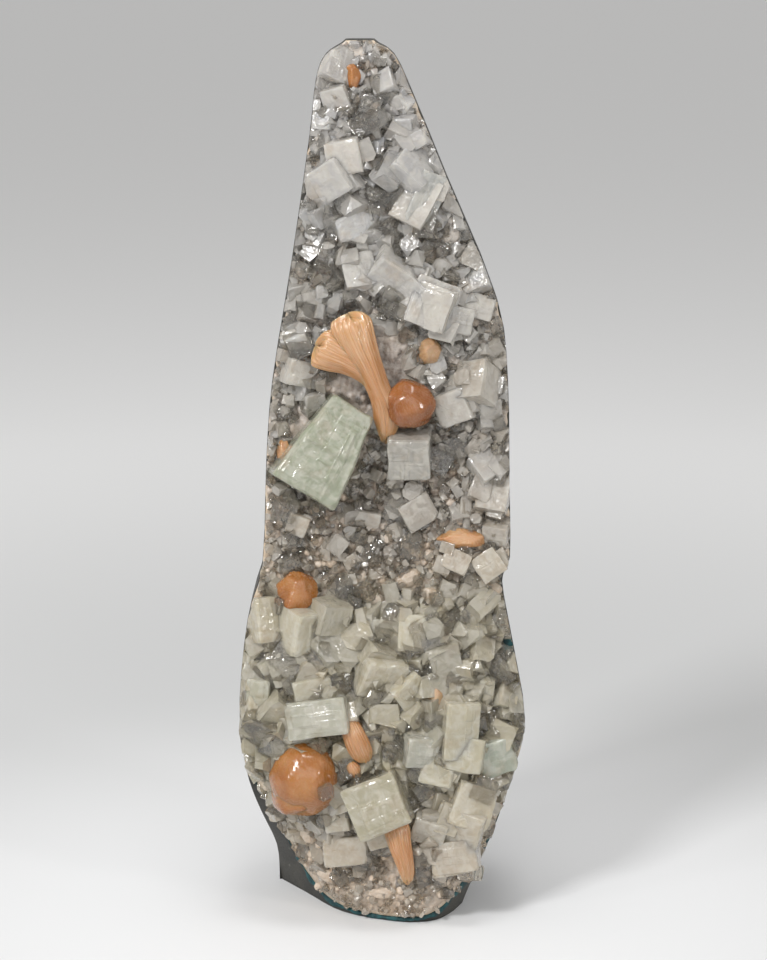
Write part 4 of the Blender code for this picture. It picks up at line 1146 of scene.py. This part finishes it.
def stilbite_pieces(chance, peach, amber, deep_amber, pale):
    """The bow tie with its rounded head, the balls, buds, sheaves and blades of stilbite."""
    bow = [sheaf_of_blades(BOW_LEFT, 18, 0.15, 4.0), sheaf_of_blades(BOW_RIGHT, 18, 0.15, 4.0)]
    grown_from("peach_bow_tie", bow, peach, slot="stilbite", stands_for=("stilbite_bow_tie",))
    place = behind_pixels(*BOW_HEAD_SEEN, 9 * MM, crust_level)
    head = radiating_lump(place, np.array((11.2, 10, 11)) * MM, chance, 60, 30, 60, 0.02, (0.5, 0.6, -0.8))
    grown_from("bow_tie_head", [head], deep_amber, slot="stilbite")
    middle, half = middle_of("stilbite_ball_large")
    ball = [
        radiating_lump(middle + np.array(shift) * MM, half * np.array(scale), chance, planes, 12, ridges,
                       0.008, (-0.5, 0.8, 0.6))
        for shift, scale, planes, ridges in (((1.0, 0.5, 4.0), (0.98, 1.0, 1.04), 30, 26),
                                             ((-3.5, 1.0, -3.5), (0.66, 0.8, 0.60), 22, 22))
    ]
    grown_from("large_stilbite_ball", ball, amber, slot="stilbite", stands_for=("stilbite_ball_large",))
    for name, finish in zip(ROUND_STILBITE, (amber, amber, pale, peach, peach, pale)):
        middle, half = middle_of(name)
        lump = radiating_lump(middle, half, chance, 18, 22, 30, 0.03)
        grown_from("grown_" + name, [lump], finish, slot="stilbite", stands_for=(name,))
    centre = [sheaf_of_blades(SHEAF_CENTRE, 10, 0.10, 1.5), sheaf_of_blades(SHEAF_CENTRE_BIT, 6, 0.08, 0.5)]
    grown_from("centre_sheaf", centre, peach, slot="stilbite", stands_for=("stilbite_sheaf_centre",))
    front = [sheaf_of_blades(SHEAF_FRONT, 12, 0.16, 3.0)]
    grown_from("front_sheaf", front, peach, slot="stilbite", stands_for=("stilbite_sheaf_front",))
    edge = [sheaf_of_blades(SHEAF_FRONT_EDGE, 6, 0.14, 1.5)]
    grown_from("front_sheaf_pale_edge", edge, pale, slot="stilbite")


# Basalt and celadonite

def basalt_slice(material):
    """The slice behind the crust. Round each level: the front, a straight sawn side, the broken back on a
    superellipse, and the other side; the front steps back by the crust's depth under the crust."""
    rows, front, side, back = 250, 90, 16, 70
    z = np.linspace(0.0, TOP + 0.2 * MM, rows)[:, None]
    left, right = width_at(z)
    middle, half = (left + right) / 2, (right - left) / 2
    depth = by_height(BACK_DEPTH, z) * MM
    share = (0.5 - 0.5 * np.cos(np.linspace(0.0, math.pi, front)))[None]
    x_front = left + (right - left) * share
    z_front = np.broadcast_to(z, x_front.shape)
    lip_left = rim_basalt(z_front, LEFT_RIM_BASALT)
    lip_right = rim_basalt(z_front, RIGHT_RIM_BASALT)
    above_foot = smooth_step((z_front - 60 * MM) / (20 * MM))
    lip = np.where(share < 0.5, lip_left, lip_right) * above_foot
    under = smooth_step((inside_crust(x_front, z_front) - lip) / (1.2 * MM))
    y_front = front_y(share, z_front) + (CRUST_DEPTH + 0.3 * MM) * under + 0.3 * MM
    corner_angle = math.asin(0.42)
    y_corner = depth * 0.42 ** 0.6
    step = np.linspace(0.0, 1.0, side + 2)[1:-1][None]
    y_right = y_front[:, -1:] + (y_corner - y_front[:, -1:]) * step
    angle = np.linspace(corner_angle, math.pi - corner_angle, back)[None]
    x_back = middle + half * np.sign(np.cos(angle)) * np.minimum(1.0, 1.04 * np.abs(np.cos(angle)) ** 0.4)
    y_back = depth * np.sin(angle) ** 0.6
    y_left = (y_front[:, :1] + (y_corner - y_front[:, :1]) * step)[:, ::-1]
    x_right, x_left = (np.broadcast_to(edge, (rows, side)) for edge in (right, left))
    x = np.concatenate([x_front, x_right, x_back, x_left], axis=1)
    y = np.concatenate([y_front, y_right, y_back, y_left], axis=1)
    rings = np.stack([x, y, np.broadcast_to(z, x.shape)], axis=-1)
    broken = np.zeros(x.shape)
    broken[:, front + side:front + side + back] = smooth_step((np.sin(angle) - 0.42) / 0.25)
    ends = smooth_step(np.minimum(z, TOP - z) / (8 * MM))
    waves = ((2.6, 24 * MM, 2), (1.1, 8 * MM, 3), (0.5, 3 * MM, 4))
    rough = sum(height * soft_noise(rings, size, seed) for height, size, seed in waves)
    pits = np.clip(soft_noise(rings, 5 * MM, 6) - 0.45, 0.0, None) * 4.0
    rings[..., 1] += (rough - pits) * MM * broken * ends
    points, faces = closed_rings(rings)
    return new_piece("basalt_slice", points, faces, material, slot="basalt", stands_for=("basalt_matrix",),
                     broken=with_ends(broken))


CELADONITE_WIDTH = [
    (-63, 0.8), (-52, 0.7), (-46, 0.5), (-38, 1.6), (-30, 2.6), (-16, 1.6), (0, 1.8), (16, 1.8),
    (28, 2.6), (38, 4.2), (44, 3.6), (52, 1.4), (61, 0.7),
]


def celadonite_seam(material):
    """The teal seam under the crust: a flattened oval carried along the crust's lower edge, its width from
    a table by x and made wavy by noise, half of it under the crust."""
    edge = smooth_curve(np.vstack([np.array(CRUST_LEFT_EDGE[::-1]), np.array(CRUST_RIGHT_EDGE[1:])]), 26) * MM
    along = np.gradient(edge, axis=0)
    across = np.stack([along[:, 1], -along[:, 0]], axis=1)
    across /= np.linalg.norm(across, axis=1)[:, None]
    x_at, widths = np.array(CELADONITE_WIDTH).T
    flat = np.stack([edge[:, 0], 0 * edge[:, 0], edge[:, 1]], -1)
    wavy = 1.0 + 0.55 * soft_noise(flat, 3.2 * MM, 12) + 0.35 * soft_noise(flat, 1.3 * MM, 13)
    width = np.interp(edge[:, 0] / MM, x_at, widths) * MM * np.clip(wavy, 0.15, 2.0)
    angle = 2 * math.pi * np.arange(16) / 16
    shift = (np.cos(angle)[None] * 0.5 + 0.35) * width[:, None]
    plane = edge[:, None] + across[:, None] * shift[..., None]
    x, z = plane[..., 0], np.maximum(plane[..., 1], 0.4 * MM)
    y = front_y(np.clip(share_of_width(x, z), 0, 1), z) - np.sin(angle)[None] * 0.9 * MM
    left, right = width_at(z)
    x = np.clip(x, left + 0.1 * MM, right - 0.1 * MM)
    points, faces = closed_rings(np.stack([x, y, z], axis=-1))
    return new_piece("celadonite_seam", points, faces, material, slot="basalt")


def celadonite_patch(material):
    """Teal patch at the right rim: a thin lump whose outline and front are ragged by noise."""
    middle = behind_pixels(505.0, 648.0, 0.5 * MM, crust_level)
    rings, sides = 24, 64
    away = (np.linspace(0.0, math.pi, rings + 2)[1:-1])[:, None]
    turn = (2 * math.pi * np.arange(sides) / sides)[None]
    ragged = np.stack(np.broadcast_arrays(3 * np.cos(turn), 3 * np.sin(turn), 0 * away), -1)
    reach = 1.0 + 0.35 * soft_noise(ragged, 1.0, 5) + 0.25 * soft_noise(ragged, 0.4, 6)
    x = middle[0] + 5.6 * MM * reach * np.sin(away) * np.cos(turn)
    y = middle[1] - 1.3 * MM * np.cos(away) + 0 * turn
    z = middle[2] + 5.2 * MM * reach * np.sin(away) * np.sin(turn)
    points, faces = closed_rings(sawn_flush(np.stack([x, y, z], -1)))
    return new_piece("celadonite_patch", points, faces, material, slot="basalt")


# Floor, lights and camera

FLOOR_REACH = 90.0


def studio_floor():
    """A level floor whose colour holds painted light and shade: brighter round the specimen, greyer a little
    further off and pale in the distance.
    """
    reach = FLOOR_REACH
    mesh = bpy.data.meshes.new("studio_floor")
    corners = [(-reach, -reach, 0), (reach, -reach, 0), (reach, reach, 0), (-reach, reach, 0)]
    mesh.from_pydata(corners, [], [(0, 1, 2, 3)])
    material, tree, shader = new_material("floor with painted light falloff")
    distance = add_node(tree, "VectorMath", {0: object_place(tree)}, operation="LENGTH").outputs["Value"]
    # Painted light and shade: the floor's colour stands in for the fall of the studio light round the
    # specimen and into the distance.
    painted_falloff_near = mixed(tree, in_range(tree, distance, 0.10, 0.38), (0.80, 0.805, 0.81), (0.64, 0.645, 0.645))
    colour = mixed(tree, in_range(tree, distance, 0.35, 1.3), painted_falloff_near, (0.93, 0.935, 0.935))
    set_shader(tree, shader, Base_Color=colour, Roughness=0.8, Specular_IOR_Level=0.2)
    mesh.materials.append(material)
    floor = bpy.data.objects.new("studio_floor", mesh)
    bpy.context.scene.collection.objects.link(floor)


def pointed_at(obj, target):
    """Turns a camera or light so that it looks at a place."""
    direction = Vector(target) - obj.location
    obj.rotation_euler = direction.to_track_quat("-Z", "Y").to_euler()


# Soft boxes: name, place, side in metres and watts
SOFT_BOXES = [
    ("key_soft_box", (-0.95, -1.35, 1.55), 0.42, 23.0), ("front_soft_box", (0.35, -2.30, 1.00), 1.6, 11.0),
    ("right_soft_box", (1.25, -1.10, 0.80), 0.22, 3.5), ("left_soft_box", (-1.30, -0.95, 0.55), 0.22, 3.0),
    ("top_soft_box", (0.1, -0.25, 1.9), 0.5, 7.0),
]
LIGHT_TARGET = (0.0, -0.02, 0.2)


def soft_light(name, place, size, watts):
    """A square soft box, pointed at the middle of the specimen."""
    data = bpy.data.lights.new(name, "AREA")
    data.shape = "SQUARE"
    data.size = size
    data.energy = watts
    light = bpy.data.objects.new(name, data)
    light.location = place
    bpy.context.scene.collection.objects.link(light)
    pointed_at(light, LIGHT_TARGET)


def studio():
    """Floor, soft boxes, even surroundings and the camera."""
    studio_floor()
    for soft_box in SOFT_BOXES:
        soft_light(*soft_box)
    world = bpy.data.worlds.new("even surroundings")
    world.use_nodes = True
    world.node_tree.nodes["Background"].inputs["Color"].default_value = (1.0, 0.99, 0.98, 1.0)
    world.node_tree.nodes["Background"].inputs["Strength"].default_value = 0.52
    bpy.context.scene.world = world
    bpy.context.scene.view_settings.view_transform = "Standard"
    data = bpy.data.cameras.new("camera")
    data.lens = LENS
    data.sensor_width = SENSOR
    data.clip_end = 300.0
    camera = bpy.data.objects.new("camera", data)
    camera.location = CAMERA
    bpy.context.scene.collection.objects.link(camera)
    pointed_at(camera, AIM)
    bpy.context.scene.camera = camera


def main():
    """Builds every piece of the specimen and the studio."""
    chance = np.random.default_rng(SEED)
    chalcedony = chalcedony_material()
    cloudy_glass = crystal_material("cloudy apophyllite", 0.56, 0.17, 0.0, 0.22, 0.5)
    clear_glass = crystal_material("clear apophyllite", 0.92, 0.03, 0.0, 0.65, 0.3)
    large_glass = crystal_material("milky apophyllite", 0.44, 0.17, 0.6, 0.20, 0.5)
    green_glass = crystal_material("green apophyllite", 0.46, 0.17, 0.6, 0.20, 0.5)
    peach = stilbite_material("peach stilbite", (0.49, 0.27, 0.115), (0.42, 0.185, 0.058), 9.0, 0.22, 0.5)
    amber = stilbite_material("amber stilbite", (0.40, 0.17, 0.040), (0.28, 0.095, 0.015), 3.0, 0.16, 0.12)
    deep_amber = stilbite_material("deep amber stilbite", (0.30, 0.105, 0.018), (0.21, 0.060, 0.007), 4.0,
                                   0.16, 0.12)
    pale = stilbite_material("pale stilbite", (0.45, 0.29, 0.16), (0.38, 0.21, 0.09), 5.0, 0.26, 0.3)

    basalt_slice(basalt_material())
    crust_bed(chalcedony)
    teal = celadonite_material()
    celadonite_seam(teal)
    celadonite_patch(teal)
    large_apophyllite(chance, large_glass, green_glass)
    stilbite_pieces(chance, peach, amber, deep_amber, pale)

    blocks, seen_clear, seen_cloudy, clear, cloudy, knobs = (Druse() for _ in range(6))
    seen_crystals(chance, blocks, seen_clear, seen_cloudy, knobs)
    medium_crystals(chance, clear, cloudy)
    small_crystals(chance, clear, cloudy, knobs)
    blocks.piece("large_milky_crystals", large_glass, slot="apophyllite")
    add_bevel(seen_clear.piece("large_clear_crystals", clear_glass, slot="apophyllite"), 0.18 * MM)
    add_bevel(seen_cloudy.piece("large_cloudy_crystals", cloudy_glass, slot="apophyllite"), 0.25 * MM)
    clear.piece("small_clear_crystals", clear_glass, slot="apophyllite")
    cloudy.piece("small_cloudy_crystals", cloudy_glass, slot="apophyllite")
    knobs.piece("chalcedony_knobs", chalcedony, slot="chalcedony_crust")
    studio()


main()
